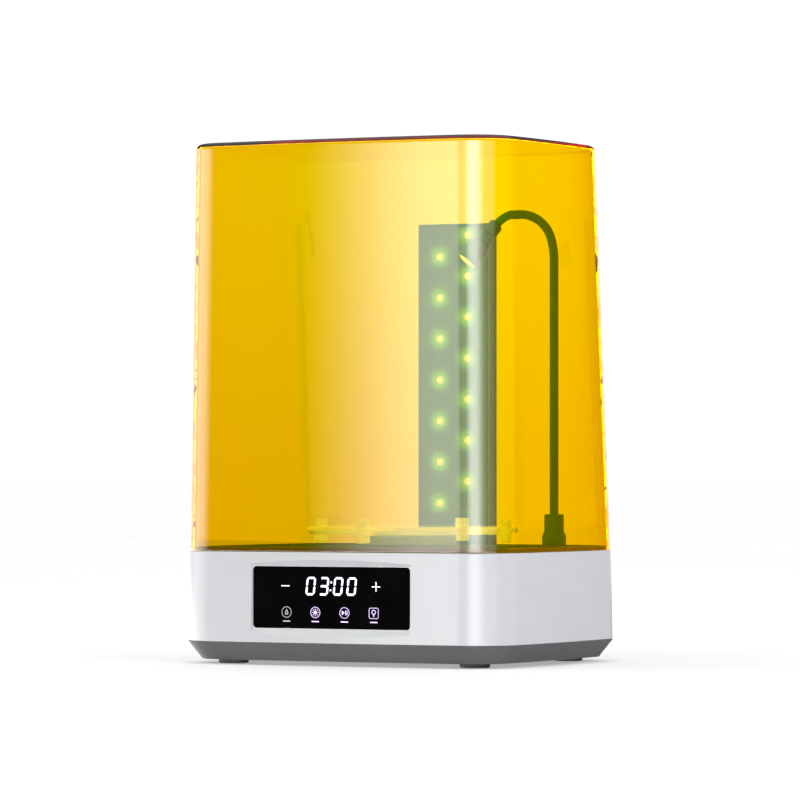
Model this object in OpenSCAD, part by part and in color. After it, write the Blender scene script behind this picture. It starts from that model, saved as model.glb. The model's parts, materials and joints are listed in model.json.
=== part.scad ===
// Curing station for resin prints: a tinted lift-off cover over a turntable, a lamp tower and a
// gooseneck lamp, on a base that holds the drive motor and the electronics.
// Millimetres, +Z up, origin on the floor under the middle, front towards -Y.

/* [Outline] */
// Half width at the corners, at the seam between base and cover
corner_x = 140.4; // [138:0.2:143]
// Half depth at the corners, at the seam
corner_y = 111.8; // [110:0.2:114]
// Corner radius at the seam
corner_r = 32; // [28:1:36]
// How far the sides bow outwards
side_bow = 5; // [3:0.5:6]
// How far the front and the back bow outwards
front_bow = 6; // [5:0.5:7]

/* [Base] */
// Radius of each rubber foot
foot_r = 11.8; // [10:0.2:13]
// Height of each rubber foot
foot_h = 4.5; // [4:0.5:5]
// Half distance between the feet, side to side
foot_x = 106.5; // [100:0.5:110]
// Half distance between the feet, front to back
foot_y = 80.4; // [76:0.2:84]
// Height of the sloping grey skirt's upper edge
skirt_top = 17.8; // [17:0.2:19]
// How far the skirt slopes in on each side
skirt_slope = 10.5; // [8:0.5:12]
// How much wider the white shell is at its lower edge than at the seam
base_flare = 1; // [0.5:0.1:1.2]
// Height of the seam between base and cover
seam_z = 88; // [87:0.5:89]
// Height of the deck that the turntable turns on
deck_top = 91.5; // [91:0.1:92]
// Wall thickness of the base shell
wall = 3; // [2.6:0.1:3.2]

/* [Cover] */
// Overall height with the cover on
cover_top = 407.2; // [400:0.2:430]
// Wall thickness of the cover
cover_wall = 3; // [2.6:0.1:3.2]
// Gap between the cover's lower edge and the base
cover_gap = 0.3; // [0.3:0.1:0.6]
// How far the cover lies inside the outline of the base
cover_inset = 0.9; // [0.6:0.1:1]
// How far the cover's sides lean in over its height
side_lean = 3; // [1:0.5:4]
// How far the cover's front leans in over its height
front_lean = 2.8; // [1:0.1:4]
// How far the cover's back leans in over its height
back_lean = 10.5; // [8:0.5:11]
// How much the radius of the back corners grows towards the top
corner_growth = 15.3; // [4:0.1:16]
// Radius of the cover's top edge
top_edge_r = 5; // [4:0.5:6]

/* [Front panel] */
// Width of the black glass
glass_w = 138; // [134:1:140]
// Height of the black glass
glass_h = 47.7; // [46:0.1:49]
// Height of the glass's middle above the floor
glass_z = 53; // [52:0.5:54]
// Thickness of the glass
glass_t = 2; // [1.6:0.1:2.2]

/* [Turntable] */
// Turntable axis, left to right
turntable_x = 12.5; // [11:0.5:13]
// Turntable axis, front to back
turntable_y = -3.5; // [-5:0.5:-3]
// Radius of the clear disc
disc_r = 83.5; // [80:0.5:84]
// Thickness of the clear disc
disc_t = 6; // [5:0.5:6]
// Height of the disc's lower face
disc_z = 101.2; // [101:0.1:101.5]
// Number of lugs round the rim
lug_count = 4; // [3:1:6]

/* [Lamp tower] */
// Middle of the tower, left to right
tower_x = 1.5; // [-1:0.5:3]
// Front face of the tower
tower_face = 85; // [85:0.5:85.5]
// Width of the tower
tower_w = 62.4; // [60:0.2:64]
// Depth of the tower, front to back
tower_d = 18.5; // [18:0.1:18.5]
// Height of the tower's top above the floor
tower_top = 349.3; // [349:0.1:352]
// Distance between lamps in one column
led_pitch = 33; // [32:0.5:33]
// Distance of each lamp column from the middle
led_spread = 12; // [10:0.5:14]
// Lamps in each of the two columns
led_rows = 7; // [5:1:7]

/* [Gooseneck lamp] */
// Foot of the gooseneck, left to right
arm_x = 97; // [96:0.5:99]
// Foot of the gooseneck, front to back
arm_y = 74; // [72:0.5:75]
// Radius of the flexible tube
arm_r = 3.5; // [3.2:0.1:3.6]
// Height where the tube starts to bend over
arm_rise = 318.2; // [316:0.1:320]
// Bend radius on the rising side
arm_side_bend = 60; // [55:1:65]
// Bend radius over the top
arm_top_bend = 25.6; // [25:0.1:26]
// Turn of the rising side before the tighter top bend, in degrees
arm_side_turn = 17; // [15:1:19]
// How far the lamp points below the horizontal, in degrees
lamp_dip = 49; // [45:1:52]
// Height of the bending joint in the tube
bend_z = 285; // [280:1:300]

/* [Hidden] */
$fn = 64;
facet = 0.01;       // thickness of a slab that hull() spans between
fit = 0.05;         // clearance of pieces that are seated in each other
corner_steps = 8;
side_steps = 10;
half_x = corner_x + side_bow;
half_y = corner_y + front_bow;
tray_z = 3.5;       // underside of the grey tray
tray_floor = 6;
ledge_t = 3;        // ledge under the deck
ledge_in = 20;      // how far the ledge's opening lies inside the outline
rim_in = 4.4;       // how far the locating rim lies inside the outline
rim_t = 2.8;
ledge_z = seam_z - ledge_t;
post_x = 127;       // case screws
post_y = 50;
post_r = 4.6;
panel_y = -(half_y - 2.2);   // plane of the panel recess
panel_flare = 2.1;           // rise of the recess's upper and lower slopes per mm of depth
panel_back = panel_y + glass_t + 0.4;
board_y = panel_y + glass_t + 7.2;
board_w = 124;
board_h = 42;
inlet_x = -92;
inlet_z = 44;
inlet_face = corner_y + front_bow * (1 - pow(inlet_x / corner_x, 2));
vent_count = 11;
vent_pitch = 6;
motor_plate_z = 72;
rotor_z = 80.5;
rotor_r = 30;
rotor_t = 6;
shaft_r = 3;
pin_r = 4;
bush_r = 6;
hub_r = 34;
hub_z = 92.5;
magnet_r = 5;
magnet_ring = 21;
magnet_t = 3.5;
magnet_count = 6;
lug_in = disc_r - 4;
lug_out = disc_r + 3.5;
lug_w = 8.6;
lug_z = 94.5;
lug_h = 18.5;
frame_d = 4.5;      // depth of the tower's front frame
seal_t = 0.8;       // light-coloured seal between the tower's front and its housing
led_top = tower_top - 9.1;
led_stagger = 17.4;
collar_top = 116.2;
joint_gap = 0.8;
lead_side = [0.7, -0.1, -0.7];
arm_heading = atan2(turntable_y - arm_y, turntable_x - arm_x);
top_bend_x = arm_side_bend - (arm_side_bend - arm_top_bend) * cos(arm_side_turn);
top_bend_z = arm_rise + (arm_side_bend - arm_top_bend) * sin(arm_side_turn);
neck_x = top_bend_x + arm_top_bend * sin(lamp_dip);
neck_z = top_bend_z + arm_top_bend * cos(lamp_dip);
neck_len = 8.5;
ball_at = 14;       // ball joint's centre, along the lamp from the tube's end
ball_r = 4.8;
boot_at = 10.8;
head_at = 19.5;
lamp_len = 38.6;
head_r = 9.5;

// ---- outline ------------------------------------------------------------------------------

function corner_arc(x, y, r, from) =
  [for (i = [0:corner_steps]) [x + r * cos(from + 90 * i / corner_steps),
                               y + r * sin(from + 90 * i / corner_steps)]];

function between(a, b) = [for (i = [1:side_steps - 1]) a + (b - a) * i / side_steps];

function bowed(p, x, y) = [p[0] * (1 + side_bow / x * (1 - pow(p[1] / y, 2))),
                           p[1] * (1 + front_bow / y * (1 - pow(p[0] / x, 2)))];

// A rounded rectangle with half sides x and y whose four sides bow outwards. Its back corners
// may have a larger radius
function outline(x, y, r, back_r = 0) =
  let (k = max(r, back_r),
       a = corner_arc(x - k, y - k, k, 0), b = corner_arc(k - x, y - k, k, 90),
       c = corner_arc(r - x, r - y, r, 180), d = corner_arc(x - r, r - y, r, 270),
       n = corner_steps,
       ring = concat(a, between(a[n], b[0]), b, between(b[n], c[0]), c,
                     between(c[n], d[0]), d, between(d[n], a[0])))
  [for (p = ring) bowed(p, x, y)];

module slab(inset, z, h) {
  translate([0, 0, z]) linear_extrude(h)
    polygon(outline(corner_x - inset, corner_y - inset, corner_r - inset));
}

// A slice of the cover: rise is 0 at the seam and 1 at the top
module cover_slice(rise, inset, z) {
  front = corner_y - front_lean * rise - inset;
  back = corner_y - back_lean * rise - inset;
  translate([0, (back - front) / 2, z]) linear_extrude(facet)
    polygon(outline(corner_x - side_lean * rise - inset, (front + back) / 2, corner_r - inset,
                    corner_r + corner_growth * rise - inset));
}

module ring(outer, inner, z, h) {
  difference() {
    slab(outer, z, h);
    slab(inner, z - 1, h + 2);
  }
}

// ---- small helpers ------------------------------------------------------------------------

module rod(r, z, h) {
  translate([0, 0, z]) cylinder(r = r, h = h);
}

module rod_y(x, y, z, r, h) {
  translate([x, y, z]) rotate([-90, 0, 0]) cylinder(r = r, h = h);
}

module four(x, y) {
  for (sx = [-1, 1], sy = [-1, 1]) translate([sx * x, sy * y, 0]) children();
}

module around(count, r, from = 0) {
  for (i = [0:count - 1]) rotate([0, 0, from + 360 * i / count]) translate([r, 0, 0]) children();
}

module at_turntable() {
  translate([turntable_x, turntable_y, 0]) children();
}

module at_arm() {
  translate([arm_x, arm_y, 0]) rotate([0, 0, arm_heading]) children();
}

// Along the lamp: +Z runs from the tube's end to the lens
module at_lamp() {
  at_arm() translate([neck_x, 0, neck_z]) rotate([0, 90 + lamp_dip, 0]) children();
}

// A screw with its head below z and its shank above it
module screw(z, shank_r, length, head_r, head_h) {
  difference() {
    union() {
      rod(head_r, z - head_h, head_h);
      rod(shank_r, z - facet, length);
    }
    translate([0, 0, z - head_h - 1]) cylinder(r = shank_r * 0.75, h = head_h * 0.5 + 1, $fn = 6);
  }
}

// Cuts each corner of a route once, so that it bends more gently
function cut_corners(p) =
  concat([p[0]], [for (i = [0:len(p) - 2], t = [0.25, 0.75]) p[i] + (p[i + 1] - p[i]) * t],
         [p[len(p) - 1]]);

function unit(v) = v / norm(v);

// Direction of the route at point i
function heading(p, i) = unit(p[min(i + 1, len(p) - 1)] - p[max(i - 1, 0)]);

// An eight-sided wire of radius r along the points; no stretch may run along lead_side
module lead(points, r) {
  route = cut_corners(cut_corners(points));
  last = len(route) - 1;
  sides = 8;
  rings = [for (i = [0:last])
             let (h = heading(route, i), a = unit(cross(h, lead_side)), b = cross(h, a))
             for (k = [0:sides - 1])
               route[i] + r * (a * cos(360 * k / sides) + b * sin(360 * k / sides))];
  walls = [for (i = [0:last - 1], k = [0:sides - 1])
             let (m = i * sides + k, n = i * sides + (k + 1) % sides)
             each [[m, n, n + sides], [m, n + sides, m + sides]]];
  polyhedron(rings, concat([[for (k = [sides - 1:-1:0]) k]], walls,
                           [[for (k = [0:sides - 1]) last * sides + k]]));
}

// ---- base ---------------------------------------------------------------------------------

module deck_screw_places() {
  four(82, corner_y - 12) children();
  for (sx = [-1, 1]) translate([sx * (half_x - 15), 0, 0]) children();
}

// Cutter for the panel recess: flat at the glass, sloping out above and below it
module panel_recess() {
  out = 6;
  low = glass_z - glass_h / 2 - 0.5;
  high = glass_z + glass_h / 2 + 0.5;
  translate([-glass_w / 2 - 0.8, 0, 0]) rotate([90, 0, 90])
    linear_extrude(glass_w + 1.6)
      polygon([[panel_y, low], [panel_y, high],
               [panel_y - out, high + out * panel_flare],
               [panel_y - out, low - out * panel_flare]]);
}

module rounded_plate(w, h, r, y, t) {
  translate([0, y + t, glass_z]) rotate([90, 0, 0]) linear_extrude(t) {
    square([w, h - 2 * r], center = true);
    square([w - 2 * r, h], center = true);
    for (sx = [-1, 1], sz = [-1, 1])
      translate([sx * (w / 2 - r), sz * (h / 2 - r)]) circle(r = r, $fn = 32);
  }
}

module base_shell() {
  color("white") difference() {
    union() {
      difference() {
        hull() {
          slab(-base_flare, skirt_top, facet);
          slab(0, seam_z - facet, facet);
        }
        slab(wall, skirt_top - 1, ledge_z - skirt_top + 1);
        slab(ledge_in, ledge_z - 1, ledge_t + 2);
      }
      ring(rim_in, rim_in + rim_t, ledge_z + 1, deck_top - ledge_z - 1);
      // frame behind the glass
      translate([-board_w / 2 - 11, panel_y, glass_z - glass_h / 2 - 6])
        cube([board_w + 22, board_y - panel_y, glass_h + 12]);
      four(post_x, post_y) rod(post_r, skirt_top + 2.2, ledge_z - skirt_top - 1.2);
      // pad for the cover sensor
      translate([-9, half_y - wall - 12, ledge_z - 2.5]) cube([18, 11, 3]);
    }
    panel_recess();
    rounded_plate(glass_w + 0.3, glass_h + 0.3, 3.2, panel_y - 8, panel_back - panel_y + 8);
    translate([-board_w / 2 - 0.5, panel_y, glass_z - board_h / 2 - 0.5])
      cube([board_w + 1, 20, board_h + 1]);
    for (sx = [-1, 1], sz = [-1, 1])
      rod_y(sx * (board_w / 2 + 4), board_y - 6, glass_z + sz * 12, 1.15, 8);
    four(post_x, post_y) rod(2 + fit, skirt_top + 1, 32);
    // groove for the seal and holes for the deck screws
    ring(rim_in + rim_t + 1.2, rim_in + rim_t + 3.2, seam_z - 1.2, 2);
    deck_screw_places() rod(1.7, ledge_z - 1, ledge_t + 2);
    // room for the tower's screws
    translate([tower_x - 27, corner_y - ledge_in - 1, ledge_z - 1]) cube([54, 11, ledge_t + 2]);
    // power inlet and air slots in the back
    rod_y(inlet_x, inlet_face - 12, inlet_z, 5.6, 20);
    rod_y(inlet_x, inlet_face - 0.8, inlet_z, 8.5, 8);
    for (i = [0:vent_count - 1])
      translate([(i - (vent_count - 1) / 2) * vent_pitch - 1.3, half_y - 8, 36])
        cube([2.6, 14, 28]);
  }
}

module bottom_tray() {
  color("dimgray") difference() {
    union() {
      difference() {
        hull() {
          slab(skirt_slope - base_flare, tray_z, facet);
          slab(-base_flare, skirt_top - 0.1 - facet, facet);
        }
        hull() {
          slab(skirt_slope + 2.2, tray_floor, facet);
          slab(2.6, skirt_top, facet);
        }
      }
      ring(wall + 0.3, wall + 2.3, skirt_top - 4.6, 7.6);
      four(post_x, post_y) rod(post_r, tray_floor - 1, skirt_top + 2.1 - tray_floor + 1);
      translate([-66, -6, 0]) four(36, 26) rod(3.2, tray_floor - 1, 7);
    }
    four(foot_x, foot_y) rod(foot_r + fit, tray_z - 1, 2);
    four(post_x, post_y) {
      rod(4.2, tray_z - 1, 5);
      rod(2.2, tray_z, 30);
    }
    translate([-66, -6, 0]) four(36, 26) rod(1.25, tray_floor + 0.5, 10);
  }
}

module rubber_feet() {
  color("black") four(foot_x, foot_y) rotate_extrude()
    polygon([[0, 0], [foot_r - 1.2, 0], [foot_r - 0.35, 0.35], [foot_r, 1.2], [foot_r, foot_h],
             [0, foot_h]]);
}

module case_screws() {
  color("silver") four(post_x, post_y) screw(tray_z + 4, 2, 32, 3.7, 3);
}

module deck_plate() {
  color("darkslategray") difference() {
    slab(rim_in + rim_t + 0.1, seam_z, deck_top - seam_z);
    deck_screw_places() rod(1.5 + fit, seam_z - 1, 3.2);
    at_turntable() {
      rod(3 + fit, seam_z - 1, 10);
      four(40, 18) rod(1.5 + fit, seam_z - 1, 3.4);
    }
    translate([arm_x, arm_y, 0]) rod(6.1, seam_z - 1, 10);
    for (sx = [-1, 1]) translate([tower_x + sx * 21, tower_face + 12, 0]) rod(1.7, seam_z - 1, 10);
    translate([tower_x, tower_face + 12, 0]) rod(4, seam_z - 1, 10);
  }
}

module deck_seal() {
  color("gray") ring(rim_in + rim_t + 1.3, rim_in + rim_t + 3.1, seam_z - 1.15, 1.15);
}

module deck_screws() {
  color("silver") deck_screw_places() screw(ledge_z, 1.5, 5, 2.8, 2);
}

// ---- front panel --------------------------------------------------------------------------

module panel_glass() {
  color("black") rounded_plate(glass_w, glass_h, 3, panel_y + 0.3, glass_t);
}

module display_module() {
  color("dimgray") translate([-24, panel_y + glass_t + 0.5, glass_z + 3]) cube([48, 6.6, 17]);
}

module touch_board() {
  color("green") difference() {
    translate([-board_w / 2 - 8, board_y, glass_z - board_h / 2])
      cube([board_w + 16, 1.6, board_h]);
    for (sx = [-1, 1], sz = [-1, 1])
      rod_y(sx * (board_w / 2 + 4), board_y - 1, glass_z + sz * 12, 1.25, 4);
  }
}

module touch_springs() {
  color("silver") {
    for (sx = [-1, 1])
      rod_y(sx * 39.5, panel_y + glass_t + 0.5, glass_z + 7.5, 3, 6.6);
    for (i = [0:3])
      rod_y(-39 + 26 * i, panel_y + glass_t + 0.5, glass_z - 9, 3, 6.6);
  }
}

module touch_board_screws() {
  color("silver") for (sx = [-1, 1], sz = [-1, 1])
    translate([sx * (board_w / 2 + 4), board_y + 1.6, glass_z + sz * 12]) rotate([90, 0, 0])
      screw(0, 1.1, 6, 2.2, 1.4);
}

// ---- electronics in the base --------------------------------------------------------------

module power_inlet() {
  color("black") difference() {
    union() {
      rod_y(inlet_x, inlet_face - 0.75, inlet_z, 7.5, 1.6);
      rod_y(inlet_x, inlet_face - 13, inlet_z, 5.5, 13);
    }
    rod_y(inlet_x, inlet_face - 10, inlet_z, 3.2, 14);
  }
  color("silver") rod_y(inlet_x, inlet_face - 10.5, inlet_z, 1, 10.4);
}

module inlet_nut() {
  color("silver") difference() {
    translate([inlet_x, inlet_face - 6.1, inlet_z]) rotate([-90, 0, 0])
      cylinder(r = 8, h = 2.2, $fn = 6);
    rod_y(inlet_x, inlet_face - 7, inlet_z, 5.5 + fit, 4);
  }
}

module at_board() {
  translate([-66, -6, 12.1]) children();
}

module main_board() {
  color("green") difference() {
    at_board() translate([-40, -30, 0]) cube([80, 60, 1.6]);
    at_board() four(36, 26) rod(1.6, -1, 4);
  }
}

module main_board_screws() {
  color("silver") at_board() four(36, 26) mirror([0, 0, 1]) screw(-1.6, 1.2, 6, 2.6, 1.6);
}

module board_chips() {
  color("black") at_board() {
    translate([-14, -8, 1.6]) cube([12, 12, 1.6]);
    translate([4, -18, 1.6]) cube([6, 5, 1.4]);
    translate([-28, 4, 1.6]) cube([5, 4, 1.4]);
    for (i = [0:2]) translate([14 + 7 * i, -6, 1.6]) cube([5, 4, 1.8]);
  }
}

module capacitors() {
  color("navy") at_board() for (i = [0:2]) translate([-30 + 13 * i, 18, 0]) rod(4.8, 1.6, 13);
}

module buzzer() {
  color("black") at_board() difference() {
    translate([-26, -14, 0]) rod(6, 1.6, 8);
    translate([-26, -14, 0]) rod(1, 5, 8);
  }
}

module board_sockets() {
  color("ivory") at_board() {
    for (i = [0:3]) difference() {
      translate([-18 + 13 * i, -29, 1.6]) cube([9, 6, 7]);
      translate([-17 + 13 * i, -28, 4]) cube([7, 4, 6]);
    }
    difference() {
      translate([22, 14, 1.6]) cube([10, 12, 9]);
      translate([23.2, 15.2, 4]) cube([7.6, 9.6, 8]);
    }
  }
}

module driver_heatsink() {
  color("silver") at_board() difference() {
    translate([12, 1, 1.6]) cube([22, 10, 14]);
    for (i = [0:3]) translate([14.6 + 5 * i, 0, 5]) cube([2.4, 12, 12]);
  }
}

module cover_sensor() {
  color("green") {
    translate([-8, half_y - wall - 11.5, ledge_z - 4.1]) cube([16, 8, 1.6]);
    translate([-2, half_y - wall - 6.5, ledge_z - 5.9]) cube([4, 3, 1.8]);
  }
}

// ---- drive --------------------------------------------------------------------------------

module motor_bracket() {
  color("silver") at_turntable() difference() {
    union() {
      translate([-46, -24, motor_plate_z]) cube([92, 48, 2]);
      four(40, 18) rod(4, motor_plate_z + 1, seam_z - motor_plate_z - 1);
    }
    rod(6.3, motor_plate_z - 1, 4);
    four(40, 18) rod(1.6, motor_plate_z - 1, 30);
    around(4, 15.5, 45) rod(1.6, motor_plate_z - 1, 4);
  }
}

module bracket_screws() {
  color("silver") at_turntable() four(40, 18) screw(motor_plate_z, 1.5, 17.8, 2.8, 2);
}

module drive_motor() {
  color("gray") at_turntable() difference() {
    union() {
      rod(18.5, motor_plate_z - 22, 22);
      rod(17.5, motor_plate_z - 50, 28.5);
      rod(5, motor_plate_z - 52, 3);
      rod(6, motor_plate_z - 1, 5);
    }
    rod(shaft_r + fit, motor_plate_z - 8, 20);
    around(4, 15.5, 45) rod(1.5 + fit, motor_plate_z - 7, 8);
  }
}

module motor_screws() {
  color("silver") at_turntable() around(4, 15.5, 45)
    translate([0, 0, motor_plate_z + 2]) mirror([0, 0, 1]) screw(0, 1.5, 8, 2.7, 1.8);
}

module motor_shaft() {
  color("silver") at_turntable() rod(shaft_r, motor_plate_z - 7.5, rotor_z + rotor_t
                                     - motor_plate_z + 7.3);
}

module drive_rotor() {
  color("black") at_turntable() difference() {
    union() {
      rod(rotor_r, rotor_z, rotor_t);
      rod(7, rotor_z - 3, 4);
    }
    rod(shaft_r + 0.02, rotor_z - 4, rotor_t + 6);
    around(magnet_count, magnet_ring)
      rod(magnet_r + fit, rotor_z + rotor_t - magnet_t, magnet_t + 1);
  }
}

module rotor_magnets() {
  color("silver") at_turntable() around(magnet_count, magnet_ring)
    rod(magnet_r, rotor_z + rotor_t - magnet_t, magnet_t);
}

module pivot_pin() {
  color("silver") at_turntable() {
    rod(3, seam_z + 0.2, deck_top - seam_z);
    rod(8, deck_top, 0.7);
    rod(pin_r, deck_top + 0.5, 9.2);
    translate([0, 0, deck_top + 9.7]) cylinder(r1 = pin_r, r2 = pin_r - 1.2, h = 1.2);
  }
}

module pivot_bush() {
  color("goldenrod") at_turntable() difference() {
    union() {
      rod(bush_r, hub_z, 10.5);
      rod(8.5, hub_z, 0.8);
    }
    rod(pin_r + fit, hub_z - 1, 20);
  }
}

module turntable_hub() {
  color("dimgray") at_turntable() difference() {
    union() {
      rod(hub_r, hub_z, 7);
      rod(29, hub_z + 6, disc_z - hub_z - 6);
      rod(12, disc_z - 1, disc_t + 1);
    }
    rod(bush_r + fit, hub_z - 1, 11.8);
    rod(8.9, hub_z - 1, 2.2);
    around(magnet_count, magnet_ring) rod(magnet_r + fit, hub_z - 1, magnet_t + 1.5);
    around(3, magnet_ring, 30) {
      rod(2.9, hub_z - 1, 4);
      rod(1.6, hub_z, 20);
    }
    around(24, hub_r) translate([-1.2, -2, hub_z + 2.5]) cube([4, 4, 10]);
  }
}

module hub_magnets() {
  color("silver") at_turntable() around(magnet_count, magnet_ring)
    rod(magnet_r, hub_z + 0.2, magnet_t);
}

module hub_screws() {
  color("silver") at_turntable() around(3, magnet_ring, 30) screw(hub_z + 3, 1.5, 9, 2.7, 2.2);
}

module turntable_disc() {
  color("khaki") at_turntable() difference() {
    rotate_extrude($fn = 128)
      polygon([[12 + fit, disc_z], [disc_r - 3, disc_z], [disc_r, disc_z + 2.4],
               [disc_r, disc_z + disc_t - 0.5], [disc_r - 0.5, disc_z + disc_t],
               [12 + fit, disc_z + disc_t]]);
    around(lug_count, 0)
      translate([lug_in - fit, -lug_w / 2 + 1, disc_z - 1]) cube([20, lug_w - 2, disc_t + 2]);
    around(3, magnet_ring, 30) rod(1.5 + fit, disc_z - 1, 4.7);
    around(4, 0) for (r = [30, 48, 66]) rotate([0, 0, 45])
      translate([r, -3, disc_z + disc_t - 0.8]) cube([1.2, 6, 2]);
  }
}

module disc_lugs() {
  color("khaki") at_turntable() around(lug_count, 0) difference() {
    translate([lug_in, 0, 0]) rotate([90, 0, 90]) linear_extrude(lug_out - lug_in)
      polygon([[-lug_w / 2 + 1, lug_z], [lug_w / 2 - 1, lug_z], [lug_w / 2, lug_z + 1],
               [lug_w / 2, lug_z + lug_h - 1], [lug_w / 2 - 1, lug_z + lug_h],
               [-lug_w / 2 + 1, lug_z + lug_h], [-lug_w / 2, lug_z + lug_h - 1],
               [-lug_w / 2, lug_z + 1]]);
    // grooves that grip the disc
    for (sy = [-1, 1]) translate([lug_in - 1, sy * (lug_w / 2 + 0.95) - 2, disc_z - fit])
      cube([lug_out - lug_in + 2, 4, disc_t + 2 * fit]);
  }
}

// ---- lamp tower ---------------------------------------------------------------------------

// Middle of lamp i in the column on side s
function led_x(s) = tower_x + s * led_spread;
function led_z(s, i) = led_top - i * led_pitch - (s < 0 ? led_stagger : 0);

module tower_block(inset, y0, y1, z0, z1) {
  translate([tower_x - tower_w / 2 + inset, tower_face + y0, z0])
    cube([tower_w - 2 * inset, y1 - y0, z1 - z0]);
}

module tower_housing() {
  color("darkslategray") difference() {
    tower_block(0, frame_d + seal_t, tower_d, deck_top, tower_top - 3);
    tower_block(2, frame_d, tower_d - 2, deck_top + 3, tower_top);
    translate([tower_x, tower_face + 12, 0]) {
      rod(4, deck_top - 1, 5);
      for (sx = [-21, 21]) translate([sx, 0, 0]) rod(1.5 + fit, deck_top - 1, 6);
    }
  }
}

module tower_seal() {
  color("lightyellow") difference() {
    tower_block(0.2, frame_d, frame_d + seal_t, deck_top, tower_top - 3);
    tower_block(2.2, frame_d - 1, frame_d + 3, deck_top + 3, tower_top - 5);
  }
}

module tower_front() {
  color("darkslategray") difference() {
    tower_block(0, 0, frame_d, deck_top, tower_top - 3);
    tower_block(2, 2, frame_d + 1, deck_top + 3, tower_top - 5);
    for (s = [-1, 1], i = [0:led_rows - 1])
      rod_y(led_x(s), tower_face - 1, led_z(s, i), 4, 4);
  }
}

module tower_cap() {
  color("darkslategray") {
    tower_block(0, 0, tower_d, tower_top - 2.95, tower_top);
    tower_block(2.3, frame_d + 1, tower_d - 2.3, tower_top - 5.5, tower_top - 2.5);
  }
}

module tower_board() {
  color("darkgreen") tower_block(3.5, 6.2, 7.8, deck_top + 6, tower_top - 7);
}

module tower_leds() {
  color("lightyellow") for (s = [-1, 1], i = [0:led_rows - 1]) {
    translate([led_x(s) - 2.5, tower_face + 4.4, led_z(s, i) - 2.5]) cube([5, 1.8, 5]);
    rod_y(led_x(s), tower_face + 1.2, led_z(s, i), 2.2, 3.3);
  }
}

module tower_heat_bar() {
  color("silver") difference() {
    tower_block(6, 7.9, 13.5, deck_top + 30, tower_top - 12);
    for (i = [-2:2]) translate([tower_x + i * 9 - 2, tower_face + 10, deck_top + 20])
      cube([4, 5, 240]);
  }
}

module tower_screws() {
  color("silver") for (sx = [-1, 1]) translate([tower_x + sx * 21, tower_face + 12, 0])
    screw(seam_z, 1.5, 6.2, 2.8, 2);
}

// ---- cover --------------------------------------------------------------------------------

module cover_solid(inset, from, to, edge) {
  full = to - edge;
  hull() {
    cover_slice(0, inset, from);
    for (i = [0:5]) cover_slice(1, inset + edge * (1 - cos(18 * i)), full + edge * sin(18 * i)
                                - facet);
  }
}

module cover_shell() {
  color("orange", 0.5) difference() {
    cover_solid(cover_inset, seam_z + cover_gap, cover_top, top_edge_r);
    cover_solid(cover_inset + cover_wall, seam_z - 1, cover_top - cover_wall,
                top_edge_r - cover_wall);
    // pocket for the magnet
    translate([-6.1, half_y - cover_inset - cover_wall - 2, seam_z + 1.9])
      cube([12.2, 3.6, 5.2]);
  }
}

module cover_magnet() {
  color("silver") translate([-6, half_y - cover_inset - cover_wall + 0.15, seam_z + 2])
    cube([12, 1.4, 5]);
}

// ---- gooseneck lamp -----------------------------------------------------------------------

module arm_collar() {
  color("black") translate([arm_x, arm_y, 0]) difference() {
    union() {
      rod(9.5, deck_top, 7.5);
      translate([0, 0, deck_top + 7.5]) cylinder(r1 = 9.5, r2 = 7.8, h = 4);
      rod(7.8, deck_top + 11.5, collar_top - deck_top - 11.5);
      rod(6, seam_z - 8, deck_top - seam_z + 9);
    }
    rod(arm_r + fit, deck_top - 2, 60);
    rod(2.2, seam_z - 10, 30);
  }
}

module collar_nut() {
  color("silver") translate([arm_x, arm_y, 0]) difference() {
    translate([0, 0, seam_z - 4]) cylinder(r = 9.5, h = 3.9, $fn = 6);
    rod(6 + fit, seam_z - 6, 10);
  }
}

module arm_bend(cx, cz, bend, from, turn) {
  translate([cx, 0, cz]) rotate([90, 0, 0]) rotate([0, 0, from])
    rotate_extrude(angle = turn, $fn = 96) translate([bend, 0]) circle(r = arm_r, $fn = 32);
}

module arm_tube_lower() {
  color("black") at_arm() rod(arm_r, deck_top - 1.5, bend_z - joint_gap - deck_top + 1.5);
}

module arm_tube_upper() {
  color("black") at_arm() {
    rod(arm_r, bend_z + joint_gap, arm_rise - bend_z - joint_gap);
    arm_bend(arm_side_bend, arm_rise, arm_side_bend, 180 - arm_side_turn, arm_side_turn);
    arm_bend(top_bend_x, top_bend_z, arm_top_bend, 90 - lamp_dip,
             90 + lamp_dip - arm_side_turn);
    // crimp rings that join the stretches of tube
    rod(arm_r + 0.2, arm_rise - 1.5, 3);
    translate([arm_side_bend * (1 - cos(arm_side_turn)), 0,
               arm_rise + arm_side_bend * sin(arm_side_turn)])
      rotate([0, arm_side_turn, 0]) rod(arm_r + 0.3, -1.5, 3);
  }
}

module lamp_neck() {
  color("dimgray") at_lamp() {
    rod(6, 0, neck_len);
    rod(2.4, neck_len - 1, ball_at - neck_len);
    translate([0, 0, ball_at]) sphere(r = ball_r, $fn = 48);
  }
}

module lamp_boot() {
  color("gray") at_lamp() difference() {
    union() {
      rod(5.8, boot_at, head_at - boot_at);
      for (i = [0:3]) rod(6.5, boot_at + 0.6 + i * 2.1, 1.2);
    }
    rod(5.1, boot_at - 1, 12);
  }
}

module lamp_head() {
  color("dimgray") at_lamp() difference() {
    union() {
      translate([0, 0, head_at]) cylinder(r1 = 7, r2 = head_r, h = 4);
      rod(head_r, head_at + 4, lamp_len - head_at - 4);
    }
    rod(head_r - 1.2, head_at + 9, 20);
  }
}

module lamp_led() {
  color("lightyellow") at_lamp() {
    rod(head_r - 1.3, head_at + 9, 1.6);
    translate([-2.5, -2.5, head_at + 10.6]) cube([5, 5, 1.4]);
  }
}

module lamp_lens() {
  color("lightyellow") at_lamp() rod(head_r - 1.25, lamp_len - 2.2, 1.6);
}

// ---- wiring in the base -------------------------------------------------------------------

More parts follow.
